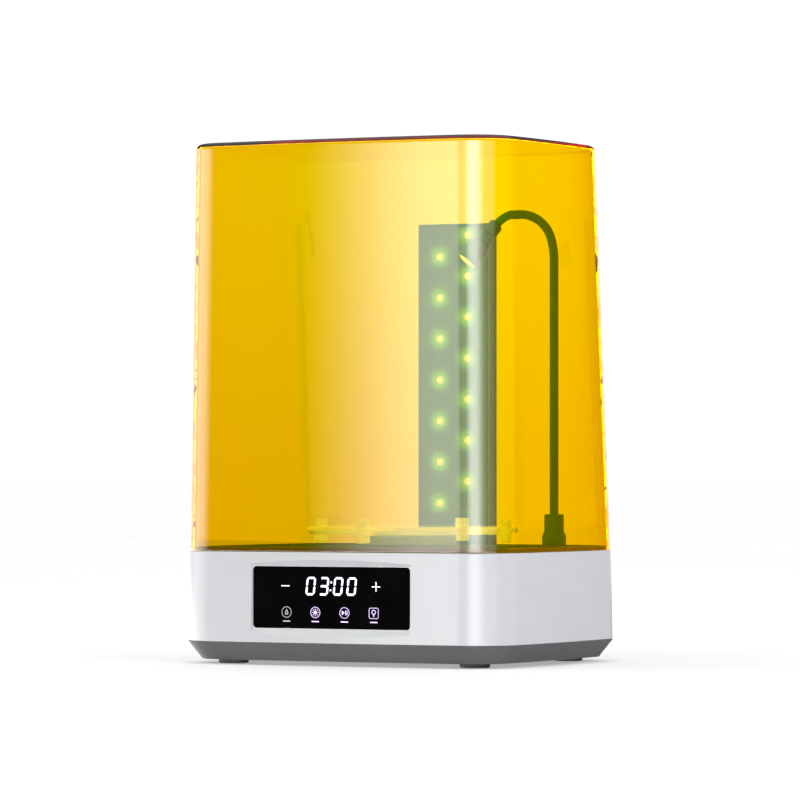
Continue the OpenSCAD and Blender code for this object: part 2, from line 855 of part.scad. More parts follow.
// Plug i of the four along the board's edge
function plug(i, z) = [-79.5 + 13 * i, -32, z];

module motor_lead() {
  color("red") lead([plug(2, 22), plug(2, 27), [-20, -20, 17.5], [1, -15, 17.5], [4, -12, 21]],
                    1.2);
}

module tower_lead() {
  color("red") lead([plug(3, 22), plug(3, 44), [-40.5, 70, 44], [tower_x, tower_face + 12, 60],
                     [tower_x, tower_face + 12, 96]], 1.4);
}

module lamp_lead() {
  color("red") lead([plug(1, 22), plug(1, 40), [-66.5, 60, 40], [60, 74, 40],
                     [arm_x, arm_y, 60], [arm_x, arm_y, 88]], 1.3);
}

module display_lead() {
  color("red") lead([plug(0, 22), plug(0, 34), [-60, -80, 50], [-50, -102, 50]], 1.4);
}

module power_lead() {
  color("red") lead([[-39, 14, 24], [-39, 14, 32], [-78, 60, 56],
                     [inlet_x, 98, inlet_z]], 1.4);
}

base_shell();
bottom_tray();
rubber_feet();
case_screws();
deck_plate();
deck_seal();
deck_screws();
panel_glass();
display_module();
touch_board();
touch_springs();
touch_board_screws();
power_inlet();
inlet_nut();
main_board();
main_board_screws();
board_chips();
capacitors();
buzzer();
board_sockets();
driver_heatsink();
cover_sensor();
motor_bracket();
bracket_screws();
drive_motor();
motor_screws();
motor_shaft();
drive_rotor();
rotor_magnets();
pivot_pin();
pivot_bush();
turntable_hub();
hub_magnets();
hub_screws();
turntable_disc();
disc_lugs();
tower_housing();
tower_seal();
tower_front();
tower_cap();
tower_board();
tower_leds();
tower_heat_bar();
tower_screws();
cover_shell();
cover_magnet();
arm_collar();
collar_nut();
arm_tube_lower();
arm_tube_upper();
lamp_neck();
lamp_boot();
lamp_head();
lamp_led();
lamp_lens();
motor_lead();
tower_lead();
lamp_lead();
display_lead();
power_lead();
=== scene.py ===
import json
import math

import bmesh
import bpy
from mathutils import Matrix, Vector

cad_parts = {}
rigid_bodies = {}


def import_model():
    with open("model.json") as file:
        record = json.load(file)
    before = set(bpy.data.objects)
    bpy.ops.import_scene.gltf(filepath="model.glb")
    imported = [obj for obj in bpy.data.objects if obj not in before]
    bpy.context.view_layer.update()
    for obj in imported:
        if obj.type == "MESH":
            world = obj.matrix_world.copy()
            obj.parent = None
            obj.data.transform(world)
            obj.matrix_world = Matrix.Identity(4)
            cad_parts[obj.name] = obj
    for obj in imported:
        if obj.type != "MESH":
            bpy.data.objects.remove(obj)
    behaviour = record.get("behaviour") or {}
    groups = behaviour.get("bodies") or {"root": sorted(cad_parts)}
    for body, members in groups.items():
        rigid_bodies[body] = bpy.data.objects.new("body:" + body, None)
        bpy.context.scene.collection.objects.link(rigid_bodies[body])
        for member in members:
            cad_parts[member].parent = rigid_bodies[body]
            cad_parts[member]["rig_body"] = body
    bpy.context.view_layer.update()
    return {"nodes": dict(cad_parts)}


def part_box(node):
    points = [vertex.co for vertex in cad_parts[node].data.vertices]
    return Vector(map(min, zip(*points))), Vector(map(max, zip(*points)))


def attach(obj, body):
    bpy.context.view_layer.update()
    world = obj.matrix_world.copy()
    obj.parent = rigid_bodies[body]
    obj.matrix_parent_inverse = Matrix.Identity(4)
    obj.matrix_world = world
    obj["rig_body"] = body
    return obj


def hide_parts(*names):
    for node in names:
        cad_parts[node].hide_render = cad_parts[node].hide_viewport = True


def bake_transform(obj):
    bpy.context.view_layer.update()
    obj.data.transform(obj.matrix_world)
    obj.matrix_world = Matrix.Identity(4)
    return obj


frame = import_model()

MM = 0.001
SMOOTH = math.radians(32)


# ---- sizes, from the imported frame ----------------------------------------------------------

def low(node):
    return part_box(node)[0]


def high(node):
    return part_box(node)[1]


def middle(node):
    return (low(node) + high(node)) / 2


# The outline that base and cover share: half sides at the corners, corner radius, and bows
CORNER_X, CORNER_Y, CORNER_R = 140.4 * MM, 111.8 * MM, 32 * MM
SIDE_BOW, FRONT_BOW = 5 * MM, 6 * MM
FLARE = 1 * MM           # how much wider the white shell is at its lower edge
WALL = 3 * MM
SKIRT_SLOPE = 10.5 * MM
RIM_IN, RIM_T = 4.4 * MM, 2.8 * MM
LEDGE_IN = 20 * MM
COVER_IN = 0.9 * MM       # how far the cover lies inside the outline of the base
COVER_LEAN = {"side": 3 * MM, "front": 2.8 * MM, "back": 10.5 * MM, "corner": 15.3 * MM}
COVER_EDGE = 5 * MM      # radius of the cover's top edge

SKIRT_TOP = low("base_shell").z
DECK_TOP = high("deck_plate").z
SEAM = low("deck_plate").z
TRAY_Z = low("bottom_tray").z
COVER_Z, COVER_TOP = low("cover_shell").z, high("cover_shell").z
PANEL_LO, PANEL_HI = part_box("panel_glass")
GLASS_FRONT = PANEL_LO.y
RECESS_Y = GLASS_FRONT - 0.3 * MM
RECESS_FLARE = 2.1       # rise of the recess's slopes per unit of depth
TURN = middle("drive_rotor")
TOWER_LO, TOWER_HI = low("tower_front"), high("tower_cap")
LED_PITCH, LED_SPREAD, LED_STAGGER, LED_ROWS = 33 * MM, 12 * MM, 17.4 * MM, 7
LED_TOP = TOWER_HI.z - 9.1 * MM

ARM = middle("arm_collar")
ARM_RISE = 318.2 * MM    # where the tube starts to bend over
SIDE_BEND, TOP_BEND = 60 * MM, 25.6 * MM
SIDE_TURN, LAMP_DIP = math.radians(17), math.radians(49)
ARM_R = 3.5 * MM
ARM_HEADING = math.atan2(TURN.y - ARM.y, TURN.x - ARM.x)


# ---- materials -----------------------------------------------------------------------------

class Shader:
    """A material's node tree, with short calls for the nodes that the materials share."""

    def __init__(self, name):
        self.material = bpy.data.materials.new(name)
        self.material.use_nodes = True
        tree = self.material.node_tree
        self.nodes, self.links = tree.nodes, tree.links
        self.surface = self.nodes["Principled BSDF"]
        self.output = self.nodes["Material Output"]
        self.coords = self.node("ShaderNodeTexCoord").outputs["Object"]

    def node(self, kind, **settings):
        made = self.nodes.new(kind)
        for key, value in settings.items():
            setattr(made, key, value)
        return made

    def set(self, **values):
        for key, value in values.items():
            self.surface.inputs[key.replace("_", " ")].default_value = value

    def math(self, operation, a, b=None, c=None):
        made = self.node("ShaderNodeMath", operation=operation)
        for socket, value in zip(made.inputs, (a, b, c)):
            if isinstance(value, (int, float)):
                socket.default_value = value
            elif value is not None:
                self.links.new(value, socket)
        return made.outputs["Value"]

    def noise(self, size, detail=2.0, stretch=(1, 1, 1)):
        """Noise whose blots are about this size, in metres."""
        mapping = self.node("ShaderNodeMapping")
        mapping.inputs["Scale"].default_value = stretch
        self.links.new(self.coords, mapping.inputs["Vector"])
        made = self.node("ShaderNodeTexNoise")
        made.inputs["Scale"].default_value = 1 / size
        made.inputs["Detail"].default_value = detail
        self.links.new(mapping.outputs["Vector"], made.inputs["Vector"])
        return made.outputs["Fac"]

    def spread(self, value, to_low, to_high, from_low=0.3, from_high=0.7):
        made = self.node("ShaderNodeMapRange", interpolation_type="SMOOTHSTEP")
        self.links.new(value, made.inputs["Value"])
        for key, number in (("From Min", from_low), ("From Max", from_high),
                            ("To Min", to_low), ("To Max", to_high)):
            made.inputs[key].default_value = number
        return made.outputs["Result"]

    def mix(self, factor, a, b):
        made = self.node("ShaderNodeMix", data_type="RGBA")
        self.links.new(factor, made.inputs["Factor"])
        for socket, value in ((made.inputs[6], a), (made.inputs[7], b)):
            if isinstance(value, tuple):
                socket.default_value = (*value, 1)
            else:
                self.links.new(value, socket)
        return made.outputs[2]

    def colour(self, value):
        self.links.new(value, self.surface.inputs["Base Color"])

    def roughness(self, value):
        self.links.new(value, self.surface.inputs["Roughness"])

    def bump(self, height, depth, strength=1.0):
        made = self.node("ShaderNodeBump")
        made.inputs["Distance"].default_value = depth
        made.inputs["Strength"].default_value = strength
        self.links.new(height, made.inputs["Height"])
        self.links.new(made.outputs["Normal"], self.surface.inputs["Normal"])


def shade(colour, factor):
    return tuple(min(1.0, c * factor) for c in colour)


def moulded(name, colour, roughness=0.4, grain=0.5 * MM, depth=0.01 * MM, tone=0.06,
            coat=0.0, specular=0.5):
    """Moulded plastic or rubber: cloudy tone, uneven gloss and a fine grain."""
    made = Shader(name)
    cloud = made.noise(22 * MM, 3)
    made.colour(made.mix(made.spread(cloud, 0, 1), shade(colour, 1 - tone), shade(colour, 1 + tone)))
    made.roughness(made.spread(made.noise(4 * MM, 4), roughness * 0.88, min(1, roughness * 1.12)))
    made.bump(made.noise(grain, 2), depth)
    made.set(Coat_Weight=coat, Coat_Roughness=0.06, Specular_IOR_Level=specular)
    return made.material


def metal(name, colour, roughness=0.3, stretch=(1, 1, 0.08), depth=0.006 * MM):
    """Bare or plated metal with drawn or turned marks along one axis."""
    made = Shader(name)
    marks = made.noise(0.35 * MM, 3, stretch)
    made.colour(made.mix(made.spread(made.noise(9 * MM, 3), 0, 1), shade(colour, 0.9), colour))
    made.roughness(made.spread(marks, roughness * 0.75, roughness * 1.3))
    made.bump(marks, depth)
    made.set(Metallic=1.0)
    return made.material


def clear(name, tints_and_painted_shade, lamp_tint, roughness=0.015, ior=1.49, haze=2.0 * MM, depth=None, coat=0.0,
          through=1.0, glow=0.0):
    """Clear or tinted plastic, from its lower to its upper tint by height: a darker lower tint is a painted
    shade towards the bottom, and glow is a painted glow, light given off by plastic that is no lamp. Lamps
    shine through it, tinted, in place of slow caustics. Depth is the colour that its thickness lets through,
    and how densely."""
    made = Shader(name)
    # Painted glow: the plastic gives off light of the glow's strength, though it is no lamp.
    made.set(Emission_Color=(1.0, 1.0, 0.55, 1), Emission_Strength=glow)
    made.set(IOR=ior, Transmission_Weight=through, Coat_Weight=coat, Coat_IOR=1.58, Coat_Roughness=0.01)
    parts = made.node("ShaderNodeSeparateXYZ")
    made.links.new(made.coords, parts.inputs["Vector"])
    # Painted shade: the colour goes from the lower tint at the seam to the upper tint at the top.
    made.colour(made.mix(made.spread(parts.outputs["Z"], 0, 1, SEAM, COVER_TOP), *tints_and_painted_shade))
    made.roughness(made.spread(made.noise(haze, 3), roughness * 0.5, roughness * 1.5))
    passing = made.node("ShaderNodeBsdfTransparent")
    passing.inputs["Color"].default_value = (*lamp_tint, 1)
    path = made.node("ShaderNodeLightPath")
    both = made.node("ShaderNodeMixShader")
    made.links.new(path.outputs["Is Shadow Ray"], both.inputs["Fac"])
    made.links.new(made.surface.outputs["BSDF"], both.inputs[1])
    made.links.new(passing.outputs["BSDF"], both.inputs[2])
    made.links.new(both.outputs["Shader"], made.output.inputs["Surface"])
    if depth:
        absorbing = made.node("ShaderNodeVolumeAbsorption")
        absorbing.inputs["Color"].default_value = (*depth[0], 1)
        absorbing.inputs["Density"].default_value = depth[1]
        made.links.new(absorbing.outputs["Volume"], made.output.inputs["Volume"])
    return made.material


def glowing(name, colour, strength, base=(0.8, 0.8, 0.8), roughness=0.4):
    """A lit surface, a little uneven as a diffused lamp is."""
    made = Shader(name)
    uneven = made.spread(made.noise(1.5 * MM, 2), strength * 0.9, strength * 1.1)
    made.set(Base_Color=(*base, 1), Emission_Color=(*colour, 1))
    made.links.new(uneven, made.surface.inputs["Emission Strength"])
    made.roughness(made.spread(made.noise(3 * MM, 2), roughness * 0.8, roughness * 1.2))
    return made.material


def circuit_board(name, mask, copper):
    """Solder mask over fine copper tracks."""
    made = Shader(name)
    brick = made.node("ShaderNodeTexBrick")
    made.links.new(made.coords, brick.inputs["Vector"])
    for key, number in (("Scale", 160.0), ("Mortar Size", 0.035), ("Brick Width", 1.3),
                        ("Row Height", 0.42)):
        brick.inputs[key].default_value = number
    made.colour(made.mix(brick.outputs["Fac"], mask, copper))
    made.roughness(made.spread(made.noise(2 * MM, 3), 0.25, 0.4))
    made.bump(brick.outputs["Fac"], 0.03 * MM, 0.6)
    return made.material


def led_distance(made, x, top):
    """Distance in the tower's front plane from the nearest lamp of the column at x."""
    parts = made.node("ShaderNodeSeparateXYZ")
    made.links.new(made.coords, parts.inputs["Vector"])
    across = made.math("SUBTRACT", parts.outputs["X"], x)
    along = made.math("PINGPONG", made.math("SUBTRACT", parts.outputs["Z"], top), LED_PITCH / 2)
    squares = made.math("ADD", made.math("MULTIPLY", across, across),
                        made.math("MULTIPLY", along, along))
    return made.math("SQRT", squares), parts.outputs["Z"]


def near_led(made):
    """Distance in the tower's front plane from the nearest lamp of both columns, and the height."""
    centre = (TOWER_LO.x + TOWER_HI.x) / 2
    right, z = led_distance(made, centre + LED_SPREAD, LED_TOP)
    left, z = led_distance(made, centre - LED_SPREAD, LED_TOP - LED_STAGGER)
    return made.math("MINIMUM", right, left), z


def lit_dome(name, colour, middle, rim):
    """A diffusing dome over a lamp, brightest in its middle."""
    made = Shader(name)
    near, z = near_led(made)
    made.set(Base_Color=(0.5, 0.6, 0.4, 1), Emission_Color=(*colour, 1))
    made.links.new(made.spread(near, middle, rim, 0.8 * MM, 4 * MM),
                   made.surface.inputs["Emission Strength"])
    made.roughness(made.spread(made.noise(1 * MM, 2), 0.4, 0.55))
    return made.material


def tower_face_with_painted_glow(name, colour, painted_halo, strength):
    """Dark moulded plastic with a painted glow round each lamp, which the plastic itself gives off."""
    made = Shader(name)
    near, z = near_led(made)
    # Painted glow: emission round each lamp that fades out by 12 mm, and none below the lowest lamps.
    glow = made.spread(near, strength, 0.0, 2 * MM, 12 * MM)
    lowest = LED_TOP - LED_STAGGER - (LED_ROWS - 1) * LED_PITCH - 8 * MM
    shown = made.math("GREATER_THAN", z, lowest)
    made.links.new(made.math("MULTIPLY", glow, shown), made.surface.inputs["Emission Strength"])
    made.set(Emission_Color=(*painted_halo, 1))
    cloud = made.noise(25 * MM, 3)
    made.colour(made.mix(made.spread(cloud, 0, 1), shade(colour, 0.94), shade(colour, 1.06)))
    made.roughness(made.spread(made.noise(4 * MM, 3), 0.4, 0.5))
    made.bump(made.noise(0.6 * MM, 2), 0.01 * MM)
    return made.material


WHITE = moulded("white_plastic", (0.68, 0.68, 0.705), 0.08, 0.8 * MM, 0.001 * MM, 0.012, specular=0.3)
GREY = moulded("grey_plastic", (0.145, 0.145, 0.149), 0.5, 0.5 * MM, 0.012 * MM, 0.05)
RUBBER = moulded("black_rubber", (0.012, 0.012, 0.013), 0.75, 0.4 * MM, 0.02 * MM, 0.15)
STEEL = metal("steel", (0.62, 0.62, 0.63), 0.28)
DECK = moulded("deck_plastic", (0.26, 0.42, 0.18), 0.5, 0.6 * MM, 0.008 * MM, 0.05, specular=0.0)
SEAL = moulded("soft_seal", (0.09, 0.09, 0.09), 0.7, 0.4 * MM, 0.02 * MM)
BLACK_GLASS = moulded("black_glass", (0.003, 0.003, 0.0033), 0.1, 3 * MM, 0.0004 * MM, 0.2, specular=0.0)
BOARD = circuit_board("circuit_board", (0.01, 0.09, 0.035), (0.06, 0.22, 0.09))
CHIP = moulded("chip_epoxy", (0.018, 0.018, 0.02), 0.55, 0.2 * MM, 0.01 * MM)
CAPACITOR = moulded("capacitor_sleeve", (0.012, 0.02, 0.09), 0.3, 1 * MM, 0.004 * MM)
SOCKET = moulded("socket_nylon", (0.66, 0.62, 0.5), 0.45, 0.5 * MM, 0.008 * MM)
ALUMINIUM = metal("aluminium", (0.8, 0.81, 0.82), 0.34, (1, 1, 0.15))
MOTOR_CAN = metal("motor_can", (0.55, 0.55, 0.56), 0.36, (0.2, 0.2, 1))
MAGNET = metal("nickel_magnet", (0.66, 0.63, 0.57), 0.2, (1, 1, 1), 0.002 * MM)
BRASS = metal("sintered_bronze", (0.72, 0.5, 0.24), 0.42, (1, 1, 1), 0.02 * MM)
HUB = moulded("hub_plastic", (0.6, 0.8, 0.55), 0.38, 0.5 * MM, 0.012 * MM, specular=0.15)
# The clear disc has a painted glow: it gives off a little pale yellow light, though it is no lamp.
DISC = clear("clear_plastic", ((0.99, 1.0, 0.95), (0.99, 1.0, 0.95)), (0.95, 0.97, 0.85), 0.02, 1.15,
             coat=0.6, through=0.45, glow=0.22)
TOWER = moulded("tower_plastic", (0.13, 0.56, 0.13), 0.42, 0.6 * MM, 0.01 * MM, specular=0.15)
# The tower's front face has a painted glow round each of its lamps.
TOWER_FACE = tower_face_with_painted_glow("tower_face", (0.11, 0.46, 0.11), (0.35, 1.0, 0.3), 0.5)
DIFFUSER = glowing("light_seal", (0.85, 1.0, 0.35), 0.35, (0.8, 0.85, 0.4))
LED = lit_dome("led_dome", (0.85, 0.92, 0.6), 0.9, 0.4)
LENS = glowing("lens_dome", (1.0, 1.0, 0.6), 1.1, (0.9, 0.9, 0.7), 0.25)
# The amber cover's lower tint is a painted shade that darkens it towards the bottom.
AMBER = clear("amber_plastic", ((0.965, 0.90, 0.9), (1.0, 1.0, 1.0)), (1.0, 1.0, 1.0), 0.006, 1.1, 14 * MM,
              ((0.9954, 0.9515, 0.0), 1300.0), coat=1.0)
TUBE = moulded("tube_sleeve", (0.1, 0.62, 0.06), 0.42, 0.7 * MM, 0.02 * MM, 0.08, specular=0.2)
LAMP = moulded("lamp_plastic", (0.15, 0.34, 0.15), 0.38, 0.5 * MM, 0.01 * MM, specular=0.2)
WIRE = moulded("wire_sleeve", (0.30, 0.02, 0.015), 0.4, 0.5 * MM, 0.006 * MM)
LIT_DIGIT = glowing("display_light", (0.95, 0.84, 1.0), 1.15, (0.9, 0.85, 1.0))
LIT_SIGN = glowing("white_sign", (1.0, 0.97, 1.0), 0.95, (0.9, 0.9, 0.9))
LIT_ICON = glowing("icon_light", (0.72, 0.52, 0.98), 0.85, (0.6, 0.5, 0.8))
DIM_ICON = glowing("icon_dim", (0.9, 0.88, 0.95), 0.2, (0.4, 0.4, 0.4))


# ---- mesh building -------------------------------------------------------------------------

def mesh_object(name, points, faces, material, angle=SMOOTH):
    mesh = bpy.data.meshes.new(name)
    mesh.from_pydata([tuple(p) for p in points], [], faces)
    return finish_mesh(name, mesh, material, angle)


def finish_mesh(name, mesh, material, angle=SMOOTH):
    mesh.validate()
    made = bmesh.new()
    made.from_mesh(mesh)
    bmesh.ops.recalc_face_normals(made, faces=made.faces)
    made.to_mesh(mesh)
    made.free()
    mesh.shade_smooth()
    mesh.set_sharp_from_angle(angle=angle)
    mesh.materials.clear()
    mesh.materials.append(material)
    piece = bpy.data.objects.new(name, mesh)
    bpy.context.scene.collection.objects.link(piece)
    return piece


def loft(name, rings, material, closed=False, angle=SMOOTH):
    """Joins rings of equal point count. Closed goes round to the first ring, else the ends are capped."""
    count = len(rings[0])
    points = [p for ring in rings for p in ring]
    faces = []
    for r in range(len(rings) if closed else len(rings) - 1):
        a, b = r * count, ((r + 1) % len(rings)) * count
        for i in range(count):
            j = (i + 1) % count
            faces.append((a + i, a + j, b + j, b + i))
    if not closed:
        faces.append(tuple(reversed(range(count))))
        faces.append(tuple(range(len(points) - count, len(points))))
    return mesh_object(name, points, faces, material, angle)


def place(piece, body, slot, *nodes):
    """The piece rides on a body and stands for CAD nodes, which it hides. The slot is not used."""
    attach(piece, body)
    if nodes:
        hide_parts(*nodes)
    return piece


def applied(piece):
    """Bakes the piece's modifiers into its mesh."""
    graph = bpy.context.evaluated_depsgraph_get()
    mesh = bpy.data.meshes.new_from_object(piece.evaluated_get(graph))
    piece.modifiers.clear()
    piece.data = mesh
    return piece


def combined(piece, operation, others, angle=SMOOTH):
    """Cuts the others out of the piece or joins them to it, and removes them."""
    for other in others:
        step = piece.modifiers.new(operation.lower(), "BOOLEAN")
        step.operation, step.solver, step.object = operation, "EXACT", other
    applied(piece)
    for other in others:
        bpy.data.objects.remove(other)
    piece.data.shade_smooth()
    piece.data.set_sharp_from_angle(angle=angle)
    return piece


def circle(radius, z, count=48, centre=(0, 0)):
    turn = 2 * math.pi / count
    return [Vector((centre[0] + radius * math.cos(i * turn), centre[1] + radius * math.sin(i * turn), z))
            for i in range(count)]


def turned(name, profile, material, count=64, matrix=None, angle=SMOOTH):
    """A turned solid: profile is (radius, height) from one end of the axis to the other."""
    rings = [circle(max(r, 1e-5), z, count) for r, z in profile]
    if matrix is not None:
        rings = [[matrix @ p for p in ring] for ring in rings]
    return loft(name, rings, material, angle=angle)


def outline(half_x, half_y, front_radius, z, centre_y=0.0, back_radius=0.0):
    """The rounded rectangle with bowed sides that base and cover share."""
    arc, side = 40, 24
    ring = []
    corners = []
    for quarter, (sx, sy) in enumerate(((1, 1), (-1, 1), (-1, -1), (1, -1))):
        radius = max(front_radius, back_radius) if sy > 0 else front_radius
        centre = (sx * (half_x - radius), sy * (half_y - radius))
        start = quarter * math.pi / 2
        corners.append([(centre[0] + radius * math.cos(start + math.pi / 2 * i / arc),
                         centre[1] + radius * math.sin(start + math.pi / 2 * i / arc))
                        for i in range(arc + 1)])
    for quarter, corner in enumerate(corners):
        first = corners[(quarter + 1) % 4][0]
        ring += corner
        for i in range(1, side):
            t = i / side
            ring.append((corner[-1][0] * (1 - t) + first[0] * t,
                         corner[-1][1] * (1 - t) + first[1] * t))
    return [Vector((x * (1 + SIDE_BOW / half_x * (1 - (y / half_y) ** 2)),
                    centre_y + y * (1 + FRONT_BOW / half_y * (1 - (x / half_x) ** 2)), z))
            for x, y in ring]


def base_ring(inset, z):
    return outline(CORNER_X - inset, CORNER_Y - inset, CORNER_R - inset, z)


def rounded_box(name, lo, hi, radius, material, axis="z", edge=0.4 * MM):
    """A plate with round corners seen along axis and a small round on its two faces."""
    order = {"x": (1, 2, 0), "y": (2, 0, 1), "z": (0, 1, 2)}[axis]
    size = [hi[i] - lo[i] for i in order]
    centre = [(hi[i] + lo[i]) / 2 for i in order]
    rings = []
    steps = 3
    turns = [math.pi / 2 * s / steps for s in range(steps + 1)]
    heights = [(edge * (1 - math.sin(turn)), edge * (1 - math.cos(turn))) for turn in turns]
    for inset, rise in heights:
        rings.append((inset, lo[order[2]] + rise))
    for inset, rise in reversed(heights):
        rings.append((inset, hi[order[2]] - rise))
    made = []
    for inset, level in rings:
        half_a, half_b, r = size[0] / 2 - inset, size[1] / 2 - inset, max(radius - inset, 0.05 * MM)
        ring = []
        for quarter, (sa, sb) in enumerate(((1, 1), (-1, 1), (-1, -1), (1, -1))):
            for i in range(9):
                turn = quarter * math.pi / 2 + math.pi / 16 * i
                place_a = centre[0] + sa * (half_a - r) + r * math.cos(turn)
                place_b = centre[1] + sb * (half_b - r) + r * math.sin(turn)
                point = [0, 0, 0]
                point[order[0]], point[order[1]], point[order[2]] = place_a, place_b, level
                ring.append(Vector(point))
        made.append(ring)
    return loft(name, made, material)


def refined(node, material, edge=0.3 * MM, segments=2, angle=35, name=None):
    """A CAD node's shape again, with its doubled points merged and its edges rounded."""
    made = bmesh.new()
    made.from_mesh(frame["nodes"][node].data)
    bmesh.ops.remove_doubles(made, verts=made.verts, dist=2e-6)
    bmesh.ops.dissolve_limit(made, angle_limit=math.radians(0.8), verts=made.verts, edges=made.edges)
    sharp = [e for e in made.edges
             if len(e.link_faces) == 2 and e.calc_face_angle(0) > math.radians(angle)]
    bmesh.ops.bevel(made, geom=sharp, offset=edge, segments=segments, profile=0.5,
                    affect="EDGES", clamp_overlap=True)
    mesh = bpy.data.meshes.new(name or node + "_refined")
    made.to_mesh(mesh)
    made.free()
    piece = finish_mesh(mesh.name, mesh, material)
    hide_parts(node)
    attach(piece, frame["nodes"][node]["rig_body"])
    return piece


# ---- base ----------------------------------------------------------------------------------

def flare_at(z):
    return -FLARE * (SEAM - z) / (SEAM - SKIRT_TOP)


def build_base_shell():
    lip, crown = 0.5 * MM, 0.7 * MM
    profile = [(flare_at(SKIRT_TOP) + lip, SKIRT_TOP),
               (flare_at(SKIRT_TOP) + lip * 0.3, SKIRT_TOP + lip * 0.3)]
    bottom, top = SKIRT_TOP + lip, SEAM - crown
    steps = 14
    heights = [bottom, bottom + 0.3 * MM] + [bottom + (top - bottom) * i / steps for i in range(1, steps)]
    profile += [(flare_at(z), z) for z in (*heights, top - 0.3 * MM, top)]
    profile += [(crown * (1 - math.cos(a)), top + crown * math.sin(a))
                for a in (math.pi / 8, math.pi / 4, 3 * math.pi / 8, math.pi / 2)]
    rim_out, rim_inner, soft = RIM_IN, RIM_IN + RIM_T, 0.45 * MM
    profile += [(rim_out - 0.3 * MM, SEAM), (rim_out, SEAM + 0.3 * MM), (rim_out, DECK_TOP - soft)]
    profile += [(rim_out + soft * (1 - math.cos(a)), DECK_TOP - soft + soft * math.sin(a))
                for a in (math.pi / 6, math.pi / 3, math.pi / 2)]
    profile += [(rim_inner - soft * math.cos(a), DECK_TOP - soft + soft * math.sin(a))
                for a in (math.pi / 2, math.pi / 3, math.pi / 6, 0)]
    ledge_z = SEAM - WALL
    profile += [(rim_inner, SEAM), (LEDGE_IN, SEAM), (LEDGE_IN, ledge_z), (WALL, ledge_z), (WALL, SKIRT_TOP)]
    shell = loft("white_base_shell", [base_ring(*p) for p in profile], WHITE, closed=True)

    reach = 6 * MM
    glass_gap = 0.15 * MM
    z_low, z_high = PANEL_LO.z - 0.5 * MM, PANEL_HI.z + 0.5 * MM
    side = PANEL_HI.x + 0.8 * MM
    section = [(RECESS_Y, z_low), (RECESS_Y, z_high),
               (RECESS_Y - reach, z_high + reach * RECESS_FLARE),
               (RECESS_Y - reach, z_low - reach * RECESS_FLARE)]
    recess = loft("recess_cutter", [[Vector((x, y, z)) for y, z in section] for x in (-side, side)], WHITE)
    gap = Vector((glass_gap, 0, glass_gap))
    pocket = rounded_box("pocket_cutter", PANEL_LO - gap - Vector((0, 2 * MM, 0)),
                         PANEL_HI + gap + Vector((0, 6 * MM, 0)), 3.2 * MM, WHITE, "y", 0.05 * MM)
    inlet = middle("power_inlet")
    back = high("power_inlet").y
    along_y = Matrix.Translation((inlet.x, back, inlet.z)) @ Matrix.Rotation(-math.pi / 2, 4, "X")
    hole = turned("inlet_cutter", [(5.6 * MM, -13 * MM), (5.6 * MM, -1.65 * MM), (8.5 * MM, -1.65 * MM),
                                   (8.5 * MM, 6 * MM)], WHITE, 64, along_y)
    slots = []
    vents, pitch = 11, 6 * MM
    for i in range(vents):
        x = (i - (vents - 1) / 2) * pitch
        slots.append(rounded_box(f"slot_cutter_{i}", Vector((x - 1.3 * MM, CORNER_Y - 4 * MM, 36 * MM)),
                                 Vector((x + 1.3 * MM, CORNER_Y + 12 * MM, 64 * MM)), 1.29 * MM, WHITE, "y",
                                 0.05 * MM))
    combined(shell, "DIFFERENCE", [recess, pocket, hole, *slots], math.radians(24))
    place(shell, "base", "white_shell", "base_shell")


def build_tray():
    top = SKIRT_TOP - 0.1 * MM
    soft = 0.4 * MM
    foot = SKIRT_SLOPE - FLARE
    floor = 6 * MM
    profile = [(foot + 3 * MM, TRAY_Z), (foot + soft, TRAY_Z), (foot - soft * 0.2, TRAY_Z + soft * 0.5)]
    steps = 5
    slope = [(foot + (-FLARE - foot) * i / steps, TRAY_Z + soft + (top - TRAY_Z - 2 * soft) * i / steps)
             for i in range(1, steps + 1)]
    profile += slope
    profile += [(-FLARE + soft * 0.4, top - soft * 0.25), (-FLARE + soft * 1.2, top), (2.2 * MM, top),
                (2.6 * MM, top - soft), (SKIRT_SLOPE + 2.2 * MM, floor), (SKIRT_SLOPE + 5 * MM, floor)]
    tray = loft("grey_bottom_tray", [base_ring(*p) for p in profile], GREY)
    screw_lo, screw_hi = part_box("case_screws")
    foot_lo, foot_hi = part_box("rubber_feet")
    screw_r, foot_r = 3.7 * MM, 11.8 * MM
    posts, cutters = [], []
    for sx in (-1, 1):
        for sy in (-1, 1):
            post = Matrix.Translation((sx * (screw_hi.x - screw_r), sy * (screw_hi.y - screw_r), 0))
            posts.append(turned(f"post_{sx}_{sy}", [(5.2 * MM, 5 * MM), (5.2 * MM, 18 * MM)], GREY, 40, post))
            cutters.append(turned(f"screw_well_{sx}_{sy}",
                                  [(4.6 * MM, TRAY_Z - 1 * MM), (4.2 * MM, TRAY_Z + 0.6 * MM),
                                   (4.2 * MM, TRAY_Z + 4.2 * MM)], GREY, 40, post))
            well = Matrix.Translation((sx * (foot_hi.x - foot_r), sy * (foot_hi.y - foot_r), 0))
            cutters.append(turned(f"foot_well_{sx}_{sy}",
                                  [(foot_r + 0.4 * MM, TRAY_Z - 1 * MM),
                                   (foot_r + 0.1 * MM, TRAY_Z + 0.95 * MM)],
                                  GREY, 64, well))
    combined(tray, "UNION", posts)
    combined(tray, "DIFFERENCE", cutters)
    place(tray, "base", "grey_tray", "bottom_tray")


